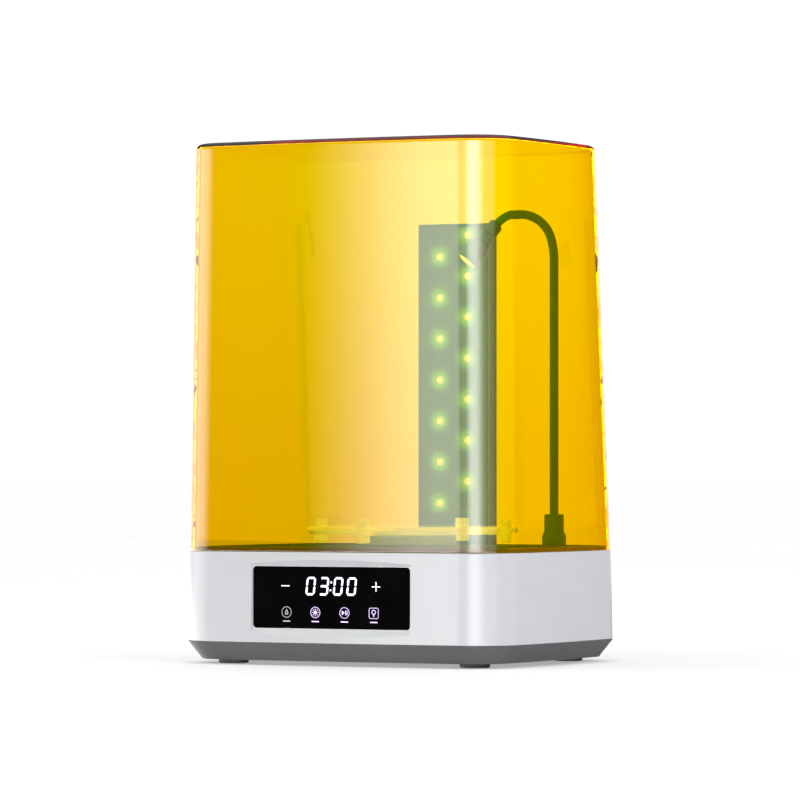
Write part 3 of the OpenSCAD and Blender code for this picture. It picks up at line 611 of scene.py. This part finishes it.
def build_deck():
    """The deck, with a ring groove under the turntable and a small step along its edge."""
    edge = RIM_IN + RIM_T + 0.15 * MM
    soft = 0.4 * MM
    profile = [(edge, SEAM + 0.02 * MM), (edge, DECK_TOP - soft), (edge + soft * 0.3, DECK_TOP - soft * 0.3),
               (edge + soft, DECK_TOP), (edge + 6 * MM, DECK_TOP), (edge + 6.6 * MM, DECK_TOP - 0.5 * MM),
               (edge + 8 * MM, DECK_TOP - 0.5 * MM), (edge + 8.6 * MM, DECK_TOP), (edge + 12 * MM, DECK_TOP)]
    rings = [base_ring(*p) for p in [(edge + 8 * MM, SEAM + 0.02 * MM)] + profile]
    deck = loft("dark_deck", rings, DECK)
    here = Matrix.Translation((TURN.x, TURN.y, 0))
    groove = loft("deck_groove", [[here @ p for p in circle(r, z, 96)]
                                  for r, z in ((44 * MM, DECK_TOP - 0.5 * MM),
                                               (45.6 * MM, DECK_TOP - 0.5 * MM),
                                               (46 * MM, DECK_TOP + 1 * MM),
                                               (43.6 * MM, DECK_TOP + 1 * MM))],
                  DECK, closed=True)
    collar = turned("collar_hole", [(6.1 * MM, SEAM - 1 * MM), (6.1 * MM, DECK_TOP + 1 * MM)], DECK, 48,
                    Matrix.Translation((ARM.x, ARM.y, 0)))
    combined(deck, "DIFFERENCE", [groove, collar])
    place(deck, "base", "deck", "deck_plate")


# ---- front panel ---------------------------------------------------------------------------

FACE_Y = GLASS_FRONT - 0.03 * MM     # front of the prints on the glass
PRINT_T = 0.06 * MM


def prism(outline_points):
    """Front and back points of a thin print in the panel's plane, from (x, z) points."""
    front = [Vector((x, FACE_Y, z)) for x, z in outline_points]
    back = [Vector((x, FACE_Y + PRINT_T, z)) for x, z in outline_points]
    return front, back


def prints(name, shapes, material, slot="led"):
    """One piece of many thin prints. A shape is an outline, or a pair of rings for a ring."""
    points, faces = [], []
    for shape in shapes:
        if isinstance(shape, tuple):
            (out_f, out_b), (in_f, in_b) = prism(shape[0]), prism(shape[1])
            loops = [out_f, out_b, in_b, in_f]
            base, count = len(points), len(out_f)
            for ring in loops:
                points += ring
            for r in range(4):
                a, b = base + r * count, base + ((r + 1) % 4) * count
                faces += [(a + i, a + (i + 1) % count, b + (i + 1) % count, b + i) for i in range(count)]
        else:
            front, back = prism(shape)
            base, count = len(points), len(front)
            points += front + back
            faces.append(tuple(range(base, base + count)))
            faces.append(tuple(reversed(range(base + count, base + 2 * count))))
            faces += [(base + i, base + count + i, base + count + (i + 1) % count, base + (i + 1) % count)
                      for i in range(count)]
    piece = mesh_object(name, points, faces, material)
    return place(piece, "base", slot)


def bar(x, z, width, height, turn=0.0):
    half = [(a * width / 2, b * height / 2) for a, b in ((-1, -1), (1, -1), (1, 1), (-1, 1))]
    c, s = math.cos(turn), math.sin(turn)
    return [(x + a * c - b * s, z + a * s + b * c) for a, b in half]


def dot(x, z, radius, count=20):
    return [(x + radius * math.cos(2 * math.pi * i / count), z + radius * math.sin(2 * math.pi * i / count))
            for i in range(count)]


def round_square(x, z, half, radius):
    points = []
    for quarter, (sx, sz) in enumerate(((1, 1), (-1, 1), (-1, -1), (1, -1))):
        for i in range(7):
            turn = quarter * math.pi / 2 + math.pi / 12 * i
            points.append((x + sx * (half - radius) + radius * math.cos(turn),
                           z + sz * (half - radius) + radius * math.sin(turn)))
    return points


def hoop(x, z, radius, thick, count=40):
    return dot(x, z, radius, count), dot(x, z, radius - thick, count)


def segments(digit, x, z, width, height, thick, slant):
    """The lit bars of a seven-segment digit centred at (x, z)."""
    lit = {"0": "abcdef", "3": "abcdg"}[digit]
    half_w, half_h = (width - thick) / 2, (height - thick) / 2
    gap = 0.22 * MM
    flat = {"a": half_h, "g": 0.0, "d": -half_h}
    tall = {"f": (-half_w, half_h / 2), "b": (half_w, half_h / 2), "e": (-half_w, -half_h / 2),
            "c": (half_w, -half_h / 2)}
    shapes = []
    for letter in lit:
        if letter in flat:
            w, t, cz = half_w - gap, thick / 2, flat[letter]
            shape = [(-w, cz), (-w + t, cz - t), (w - t, cz - t), (w, cz), (w - t, cz + t), (-w + t, cz + t)]
        else:
            cx, cz = tall[letter]
            h, t = half_h / 2 - gap, thick / 2
            shape = [(cx, cz - h), (cx + t, cz - h + t), (cx + t, cz + h - t), (cx, cz + h),
                     (cx - t, cz + h - t), (cx - t, cz - h + t)]
        shapes.append([(x + a + slant * b, z + b) for a, b in shape])
    return shapes


def build_panel():
    glass = rounded_box("black_panel_glass", PANEL_LO, PANEL_HI, 3 * MM, BLACK_GLASS, "y", 0.5 * MM)
    place(glass, "base", "black_glass", "panel_glass")
    row_z, icon_z = 61.9 * MM, 41.6 * MM
    slant = 0.11
    shapes = []
    for digit, x in (("0", -17.9), ("3", -6.3), ("0", 6.2), ("0", 18.0)):
        shapes += segments(digit, x * MM, row_z, 8.2 * MM, 14.2 * MM, 1.6 * MM, slant)
    for dz in (-3.0, 3.0):
        shapes.append(dot((-0.2 + slant * dz) * MM, row_z + dz * MM, 0.75 * MM))
    prints("display_digits", shapes, LIT_DIGIT)
    plus_x, minus_x = 39.3 * MM, -40.3 * MM
    long, thin = 7.4 * MM, 0.7 * MM
    cross = [bar(minus_x, row_z, long, thin), bar(plus_x, row_z, long, thin),
             bar(plus_x, row_z + (long + thin) / 4, thin, (long - thin) / 2),
             bar(plus_x, row_z - (long + thin) / 4, thin, (long - thin) / 2)]
    prints("panel_signs", cross, LIT_SIGN)
    ring_r, line = 4.3 * MM, 0.42 * MM
    x = -39.3 * MM
    drop = [(x + 1.5 * MM * math.cos(a), icon_z - 0.6 * MM + 1.5 * MM * math.sin(a))
            for a in (math.pi * (0.15 - 1.3 * i / 14) for i in range(15))]
    drop_in = [(x + (px - x) * 0.55, icon_z - 0.6 * MM + (pz - icon_z + 0.6 * MM) * 0.55) for px, pz in drop]
    tip = (x, icon_z + 2.5 * MM)
    tip_in = (x, icon_z + 1.2 * MM)
    prints("icon_drop", [hoop(x, icon_z, ring_r, line), (drop + [tip], drop_in + [tip_in])], DIM_ICON)
    x = -13.9 * MM
    rays = [bar(x + 2.55 * MM * math.cos(a), icon_z + 2.55 * MM * math.sin(a), 1.0 * MM, 0.55 * MM, a)
            for a in (math.pi / 4 * i for i in range(8))]
    prints("icon_sun", [hoop(x, icon_z, ring_r, line), dot(x, icon_z, 1.45 * MM), *rays], LIT_ICON)
    x = 11.7 * MM
    play = [(x - 2.3 * MM, icon_z + 1.9 * MM), (x - 2.3 * MM, icon_z - 1.9 * MM), (x + 0.3 * MM, icon_z)]
    pause = [bar(x + 1.1 * MM, icon_z, 0.6 * MM, 3.6 * MM), bar(x + 2.3 * MM, icon_z, 0.6 * MM, 3.6 * MM)]
    prints("icon_play_pause", [hoop(x, icon_z, ring_r, line), play, *pause], LIT_ICON)
    x = 37.3 * MM
    frame_out = round_square(x, icon_z, 4.2 * MM, 1.5 * MM)
    frame_in = round_square(x, icon_z, 4.2 * MM - line, 1.5 * MM - line)
    neck = [bar(x, icon_z - 1.5 * MM, 1.5 * MM, 0.5 * MM), bar(x, icon_z - 2.4 * MM, 1.1 * MM, 0.5 * MM)]
    prints("icon_lamp", [(frame_out, frame_in), hoop(x, icon_z + 0.8 * MM, 1.9 * MM, 0.6 * MM, 24), *neck],
           LIT_ICON)
    under = 34.6 * MM
    prints("icon_underlines", [bar(x * MM, under, 6.4 * MM, 0.9 * MM) for x in (-13.9, 11.7, 37.3)], LIT_ICON)
    prints("icon_underline_dim", [bar(-39.3 * MM, under, 6.4 * MM, 0.9 * MM)], DIM_ICON)


# ---- cover ---------------------------------------------------------------------------------

def cover_ring(rise, inset, z):
    inset += COVER_IN
    front = CORNER_Y - COVER_LEAN["front"] * rise - inset
    back = CORNER_Y - COVER_LEAN["back"] * rise - inset
    return outline(CORNER_X - COVER_LEAN["side"] * rise - inset, (front + back) / 2, CORNER_R - inset, z,
                   (back - front) / 2, CORNER_R + COVER_LEAN["corner"] * rise - inset)


def cover_skin(inset, edge, top):
    """Rings from the lower edge to the middle of the top, on the outer or the inner surface."""
    full = top - edge
    soft = 0.5 * MM
    steps, turns = 26, 10
    outward = 1 if inset == 0 else -1
    rings = [cover_ring(0, inset + outward * soft, COVER_Z),
             cover_ring(0, inset + outward * soft * 0.3, COVER_Z + soft * 0.3)]
    start = COVER_Z + soft
    heights = [start, start + 0.3 * MM] + [start + (full - start) * i / steps for i in range(1, steps)]
    for z in (*heights, full - 0.3 * MM, full):
        rings.append(cover_ring((z - COVER_Z) / (full - COVER_Z), inset, z))
    for i in range(1, turns + 1):
        a = math.pi / 2 * i / turns
        rings.append(cover_ring(1, inset + edge * (1 - math.cos(a)), full + edge * math.sin(a)))
    for further in (1.5 * MM, 12 * MM):
        rings.append(cover_ring(1, inset + edge + further, top))
    return rings


def build_cover():
    outer = cover_skin(0, COVER_EDGE, COVER_TOP)
    inner = cover_skin(WALL, COVER_EDGE - WALL, COVER_TOP - WALL)
    cover = loft("amber_cover", list(reversed(outer)) + inner, AMBER)
    place(cover, "cover", "amber", "cover_shell")


# ---- turntable -----------------------------------------------------------------------------

def build_turntable():
    here = Matrix.Translation((TURN.x, TURN.y, 0))
    disc_lo, disc_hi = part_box("turntable_disc")
    radius = (disc_hi.x - disc_lo.x) / 2
    top, bottom = disc_hi.z, disc_lo.z
    hole = 12.05 * MM
    soft = 0.6 * MM
    profile = [(hole, bottom + soft), (hole + soft, bottom), (radius - 3 * MM, bottom),
               (radius - 0.4 * MM, bottom + 2.2 * MM), (radius, bottom + 2.8 * MM), (radius, top - 1.2 * MM),
               (radius - 0.35 * MM, top - 0.35 * MM), (radius - 1.2 * MM, top), (radius - 6 * MM, top),
               (radius - 6.4 * MM, top - 0.5 * MM), (radius - 8 * MM, top - 0.5 * MM),
               (radius - 8.4 * MM, top),
               (38 * MM, top), (37.6 * MM, top - 0.4 * MM), (36.4 * MM, top - 0.4 * MM), (36 * MM, top),
               (hole + soft, top), (hole, top - soft)]
    disc = loft("clear_turntable_disc", [[here @ p for p in circle(r, z, 160)] for r, z in profile], DISC,
                closed=True)
    inner = radius - 4 * MM
    cutters = []
    for i in range(4):
        turn = here @ Matrix.Rotation(math.pi / 2 * i, 4, "Z")
        cutter = rounded_box(f"notch_{i}", Vector((inner - 0.05 * MM, -3.3 * MM, bottom - 1 * MM)),
                             Vector((inner + 20 * MM, 3.3 * MM, top + 1 * MM)), 0.3 * MM, DISC)
        cutter.data.transform(turn)
        cutters.append(cutter)
    combined(disc, "DIFFERENCE", cutters)
    place(disc, "turntable", "clear", "turntable_disc")
    place(refined("disc_lugs", DISC, 0.5 * MM, 3, 40), "turntable", "clear")
    place(refined("turntable_hub", HUB, 0.4 * MM, 2, 40), "turntable", "hub")


# ---- tower ---------------------------------------------------------------------------------

def build_tower():
    place(refined("tower_front", TOWER_FACE, 0.35 * MM, 2, 40), "base", "tower")
    place(refined("tower_housing", TOWER, 0.5 * MM, 3, 40), "base", "tower")
    place(refined("tower_cap", TOWER, 0.5 * MM, 3, 40), "base", "tower")
    place(refined("tower_seal", DIFFUSER, 0.15 * MM, 1, 40), "base", "diffuser")
    centre = (TOWER_LO.x + TOWER_HI.x) / 2
    lamp_front = TOWER_LO.y
    domes = []
    dome_r = 3.6 * MM
    for side in (-1, 1):
        for row in range(LED_ROWS):
            z = LED_TOP - row * LED_PITCH - (LED_STAGGER if side < 0 else 0)
            at = Matrix.Translation((centre + side * LED_SPREAD, lamp_front, z)) @ Matrix.Rotation(
                math.pi / 2, 4, "X")
            profile = [(dome_r, -6 * MM), (dome_r, -1.8 * MM)]
            profile += [(dome_r * math.cos(a), -1.8 * MM + 2.3 * MM * math.sin(a))
                        for a in (math.pi / 12 * i for i in range(1, 6))]
            profile.append((0.1 * MM, 0.5 * MM))
            domes.append(turned(f"dome_{side}_{row}", profile, LED, 32, at))
    with_all = bpy.context.temp_override(active_object=domes[0], selected_editable_objects=domes)
    with with_all:
        bpy.ops.object.join()
    domes[0].name = "tower_lamp_domes"
    place(domes[0], "base", "led", "tower_leds")


# ---- gooseneck lamp ------------------------------------------------------------------------

def neck_line():
    """Points and directions along the tube, in the plane of its bend: across and up."""
    line = []
    start = DECK_TOP - 1.5 * MM
    steps = 84
    for i in range(steps):
        line.append((0.0, start + (ARM_RISE - start) * i / steps, 0.0))
    side_steps, top_steps = 9, 42
    for i in range(side_steps):
        a = SIDE_TURN * i / side_steps
        line.append((SIDE_BEND * (1 - math.cos(a)), ARM_RISE + SIDE_BEND * math.sin(a), a))
    centre_u = SIDE_BEND - (SIDE_BEND - TOP_BEND) * math.cos(SIDE_TURN)
    centre_z = ARM_RISE + (SIDE_BEND - TOP_BEND) * math.sin(SIDE_TURN)
    total = math.pi / 2 + LAMP_DIP
    for i in range(top_steps + 1):
        a = SIDE_TURN + (total - SIDE_TURN) * i / top_steps
        line.append((centre_u - TOP_BEND * math.cos(a), centre_z + TOP_BEND * math.sin(a), a))
    return line


def arm_matrix():
    return Matrix.Translation((ARM.x, ARM.y, 0)) @ Matrix.Rotation(ARM_HEADING, 4, "Z")


def lamp_matrix():
    u, z, _ = neck_line()[-1]
    return arm_matrix() @ Matrix.Translation((u, 0, z)) @ Matrix.Rotation(math.pi / 2 + LAMP_DIP, 4, "Y")


def build_arm():
    place_arm = arm_matrix()
    rings = []
    for u, z, lean in neck_line():
        across, sideways = Vector((math.cos(lean), 0, -math.sin(lean))), Vector((0, 1, 0))
        around = [math.cos(a) * across + math.sin(a) * sideways
                  for a in (2 * math.pi * i / 28 for i in range(28))]
        rings.append([place_arm @ (Vector((u, 0, z)) + ARM_R * spoke) for spoke in around])
    tube = loft("gooseneck_tube", rings, TUBE)
    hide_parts("arm_tube_lower", "arm_tube_upper")
    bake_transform(tube)
    place(refined("arm_collar", TUBE, 0.7 * MM, 3, 25), "base", "tube")
    at = lamp_matrix()
    neck = turned("lamp_neck_sleeve", [(3.6 * MM, -1.5 * MM), (5.2 * MM, -1.2 * MM), (6 * MM, 0),
                                       (6 * MM, 7.6 * MM),
                                       (5.4 * MM, 8.4 * MM), (2.4 * MM, 8.5 * MM), (2.4 * MM, 10 * MM),
                                       (4.4 * MM, 12.2 * MM), (4.8 * MM, 14 * MM), (4.4 * MM, 15.8 * MM),
                                       (2.6 * MM, 18 * MM)], LAMP, 48, at)
    place(neck, "arm_upper", "lamp", "lamp_neck")
    ribs = [(5.3 * MM, 10.8 * MM)]
    for i in range(4):
        z = 11.2 * MM + i * 2.1 * MM
        ribs += [(5.75 * MM, z), (6.35 * MM, z + 0.35 * MM), (6.5 * MM, z + 0.8 * MM),
                 (6.35 * MM, z + 1.25 * MM), (5.75 * MM, z + 1.6 * MM)]
    ribs += [(5.8 * MM, 19.6 * MM), (5.15 * MM, 19.6 * MM), (5.15 * MM, 11 * MM)]
    boot = loft("lamp_boot_ribbed", [[at @ p for p in circle(r, z, 48)] for r, z in ribs], LAMP, closed=True)
    place(boot, "lamp", "lamp", "lamp_boot")
    shell = [(7 * MM, 19.6 * MM), (7.6 * MM, 19.9 * MM), (9.2 * MM, 23.1 * MM), (9.5 * MM, 24 * MM),
             (9.5 * MM, 27 * MM),
             (9.2 * MM, 27.3 * MM), (9.2 * MM, 27.8 * MM), (9.5 * MM, 28.1 * MM), (9.5 * MM, 37.9 * MM),
             (9.2 * MM, 38.5 * MM), (8.6 * MM, 38.6 * MM), (8.3 * MM, 38.2 * MM), (8.3 * MM, 28.6 * MM),
             (5.2 * MM, 28.6 * MM), (5.2 * MM, 19.6 * MM)]
    head = loft("lamp_head_shell", [[at @ p for p in circle(r, z, 64)] for r, z in shell], LAMP, closed=True)
    place(head, "lamp", "lamp", "lamp_head")
    lens = turned("lamp_lens_dome", [(8.2 * MM, 36.4 * MM), (8.2 * MM, 37.4 * MM), (6.5 * MM, 38.2 * MM),
                                     (4 * MM, 38.5 * MM), (1.5 * MM, 38.6 * MM)], LENS, 48, at)
    place(lens, "lamp", "led", "lamp_lens")


# ---- pieces that keep their CAD shape --------------------------------------------------------

def dress_nodes():
    """Materials for the CAD nodes that are shown as they are, and rounded copies of some."""
    finish = {
        "rubber": (RUBBER, ["rubber_feet"]),
        "steel": (STEEL, ["case_screws", "deck_screws", "touch_springs", "touch_board_screws", "inlet_nut",
                          "main_board_screws", "bracket_screws", "motor_screws", "motor_shaft",
                          "pivot_pin", "hub_screws", "tower_screws", "collar_nut"]),
        "seal": (SEAL, ["deck_seal"]),
        "board": (BOARD, ["touch_board", "main_board", "cover_sensor", "tower_board"]),
        "chip": (CHIP, ["board_chips", "buzzer", "display_module"]),
        "capacitor": (CAPACITOR, ["capacitors"]),
        "socket": (SOCKET, ["board_sockets"]),
        "aluminium": (ALUMINIUM, ["driver_heatsink", "tower_heat_bar", "motor_bracket"]),
        "motor_can": (MOTOR_CAN, ["drive_motor"]),
        "magnet": (MAGNET, ["rotor_magnets", "hub_magnets", "cover_magnet"]),
        "brass": (BRASS, ["pivot_bush"]),
        "hub": (HUB, ["drive_rotor"]),
        "led": (LENS, ["lamp_led"]),
        "wire": (WIRE, ["motor_lead", "tower_lead", "lamp_lead", "display_lead", "power_lead"]),
    }
    for material, nodes in finish.values():
        for node in nodes:
            mesh = frame["nodes"][node].data
            mesh.materials.clear()
            mesh.materials.append(material)
            for face in mesh.polygons:
                face.material_index = 0
    inlet = refined("power_inlet", RUBBER, 0.3 * MM, 2, 40)


build_base_shell()
build_tray()
build_deck()
build_panel()
build_cover()
build_turntable()
build_tower()
build_arm()
dress_nodes()


# ---- floor, light and camera ---------------------------------------------------------------

def build_floor():
    reach = 40.0
    grid = bmesh.new()
    bmesh.ops.create_grid(grid, x_segments=8, y_segments=8, size=reach)
    mesh = bpy.data.meshes.new("floor")
    grid.to_mesh(mesh)
    grid.free()
    made = Shader("pale_floor")
    made.colour(made.mix(made.spread(made.noise(0.8, 2), 0, 1), (0.56, 0.56, 0.56), (0.58, 0.58, 0.58)))
    made.set(Roughness=0.9, Specular_IOR_Level=0.1, Emission_Color=(1, 1, 1, 1), Emission_Strength=0.36)
    mesh.materials.append(made.material)
    floor = bpy.data.objects.new("floor", mesh)
    bpy.context.scene.collection.objects.link(floor)
    floor.visible_glossy = False
    floor.visible_transmission = False


def softbox(name, azimuth, distance, height, size, radiance, tilt_to=0.2, tint=(1, 1, 1)):
    """A rectangular lamp that faces the object from that azimuth; 0 is the front, 90 the right."""
    lamp = bpy.data.lights.new(name, "AREA")
    lamp.shape, lamp.size, lamp.size_y = "RECTANGLE", *size
    lamp.energy = radiance * math.pi * size[0] * size[1]
    lamp.color = tint
    holder = bpy.data.objects.new(name, lamp)
    turn = math.radians(azimuth)
    holder.location = (distance * math.sin(turn), -distance * math.cos(turn), height)
    to_object = Vector((0, 0, tilt_to)) - holder.location
    holder.rotation_euler = to_object.to_track_quat("-Z", "Y").to_euler()
    holder.visible_camera = False
    holder.visible_transmission = False
    holder.visible_glossy = False
    bpy.context.scene.collection.objects.link(holder)


def build_lights():
    softbox("right_box", 80, 2.6, 0.5, (1.2, 2.4), 1.25, tint=(0.82, 0.82, 1.0))
    softbox("left_box", -62, 0.8, 0.25, (0.4, 0.8), 0.9)
    softbox("top_box", 20, 1.0, 3.2, (3.2, 2.6), 0.5)
    softbox("inner_glow", 12, 0.085, 0.27, (0.16, 0.24), 0.9, tint=(0.3, 1.0, 0.25))


# The soft boxes that gloss reflects: azimuth in degrees from the front to the right, half width,
# width of the soft edge and brightness. Their images in the floor are wider and have their own rows
SOFT_BOXES = {
    "side": (-78, 8, 30, 3.2),
    "strip": (-19, 2, 10, 5.5),
    "fill": (-4, 5, 6, 2.8),
    "key": (27, 3, 27, 11.0),
    "tail": (62, 6, 14, 1.6),
    "back": (-148, 36, 10, 1.1),
}
FLOOR_IMAGES = {
    "side": (-60, 10, 60, 8.0),
    "strip": (-23, 3, 7, 8.0),
    "key": (38, 8, 42, 14.0),
    "back": (-130, 20, 30, 2.2),
}


def build_world():
    """White to the eye, a gradient for soft light, and the studio's lamps for gloss."""
    world = bpy.data.worlds.new("studio")
    bpy.context.scene.world = world
    world.use_nodes = True
    nodes, links = world.node_tree.nodes, world.node_tree.links
    nodes.clear()

    def node(kind, **settings):
        made = nodes.new(kind)
        for key, value in settings.items():
            setattr(made, key, value)
        return made

    def number(operation, a, b):
        made = node("ShaderNodeMath", operation=operation)
        for socket, value in zip(made.inputs, (a, b)):
            if isinstance(value, (int, float)):
                socket.default_value = value
            else:
                links.new(value, socket)
        return made.outputs["Value"]

    def spread(value, from_low, from_high, to_low, to_high, kind="LINEAR"):
        made = node("ShaderNodeMapRange", interpolation_type=kind)
        links.new(value, made.inputs["Value"])
        for key, limit in (("From Min", from_low), ("From Max", from_high), ("To Min", to_low),
                           ("To Max", to_high)):
            made.inputs[key].default_value = limit
        return made.outputs["Result"]

    def background(strength):
        made = node("ShaderNodeBackground")
        made.inputs["Color"].default_value = (1, 1, 1, 1)
        if isinstance(strength, (int, float)):
            made.inputs["Strength"].default_value = strength
        else:
            links.new(strength, made.inputs["Strength"])
        return made.outputs["Background"]

    def choose(factor, a, b):
        made = node("ShaderNodeMixShader")
        links.new(factor, made.inputs["Fac"])
        links.new(a, made.inputs[1])
        links.new(b, made.inputs[2])
        return made.outputs["Shader"]

    coords = node("ShaderNodeTexCoord")
    parts = node("ShaderNodeSeparateXYZ")
    links.new(coords.outputs["Generated"], parts.inputs["Vector"])
    x, y, z = parts.outputs["X"], parts.outputs["Y"], parts.outputs["Z"]

    azimuth = number("ARCTAN2", x, number("MULTIPLY", y, -1.0))
    def glow(boxes):
        total = 0.0
        for middle, half_width, edge, brightness in boxes.values():
            turned_by = number("COSINE", number("SUBTRACT", azimuth, math.radians(middle)), 0.0)
            share = spread(number("ARCCOSINE", turned_by, 0.0), math.radians(half_width),
                           math.radians(half_width + edge), brightness, 0.0, "SMOOTHSTEP")
            total = number("ADD", share, total)
        return total

    above = number("MULTIPLY", glow(SOFT_BOXES), spread(z, -0.019, -0.014, 0.0, 1.0))
    floor_band = number("MULTIPLY", spread(z, -0.45, -0.3, 0.0, 1.0), spread(z, -0.019, -0.014, 1.0, 0.0))
    below = number("MULTIPLY", glow(FLOOR_IMAGES), floor_band)
    sides = number("MULTIPLY", number("ADD", above, below), spread(z, 0.13, 0.22, 1.0, 0.0))
    gloss = background(number("ADD", sides, spread(z, 0.35, 0.8, 0.0, 0.8)))
    soft = background(spread(z, 0.0, 1.0, 0.32, 1.47))
    across = number("ADD", number("MULTIPLY", x, 0.883), number("MULTIPLY", y, 0.47))
    behind = background(spread(across, -0.02, 0.03, 0.86, 1.22))

    path = node("ShaderNodeLightPath")
    through = number("GREATER_THAN", path.outputs["Transmission Depth"], 0.5)
    mirrored = number("GREATER_THAN", path.outputs["Glossy Depth"], 0.5)
    scattered = number("GREATER_THAN", path.outputs["Diffuse Depth"], 0.5)
    shader = choose(through, choose(mirrored, background(1.05), gloss), behind)
    output = node("ShaderNodeOutputWorld")
    links.new(choose(scattered, shader, soft), output.inputs["Surface"])


def build_camera():
    azimuth, distance, height = math.radians(28.06), 4.0388, 0.1553
    data = bpy.data.cameras.new("camera")
    data.lens, data.sensor_width = 230.1, 36
    data.shift_x, data.shift_y = -0.0019, 0.0813
    data.clip_start, data.clip_end = 0.1, 200
    camera = bpy.data.objects.new("camera", data)
    camera.location = (distance * math.sin(azimuth), -distance * math.cos(azimuth), height)
    camera.rotation_euler = (math.pi / 2, 0, azimuth)
    bpy.context.scene.collection.objects.link(camera)
    bpy.context.scene.camera = camera


build_floor()
build_lights()
build_world()
build_camera()
bpy.context.scene.view_settings.view_transform = "Standard"
bpy.context.scene.cycles.caustics_refractive = False
bpy.context.scene.cycles.caustics_reflective = False
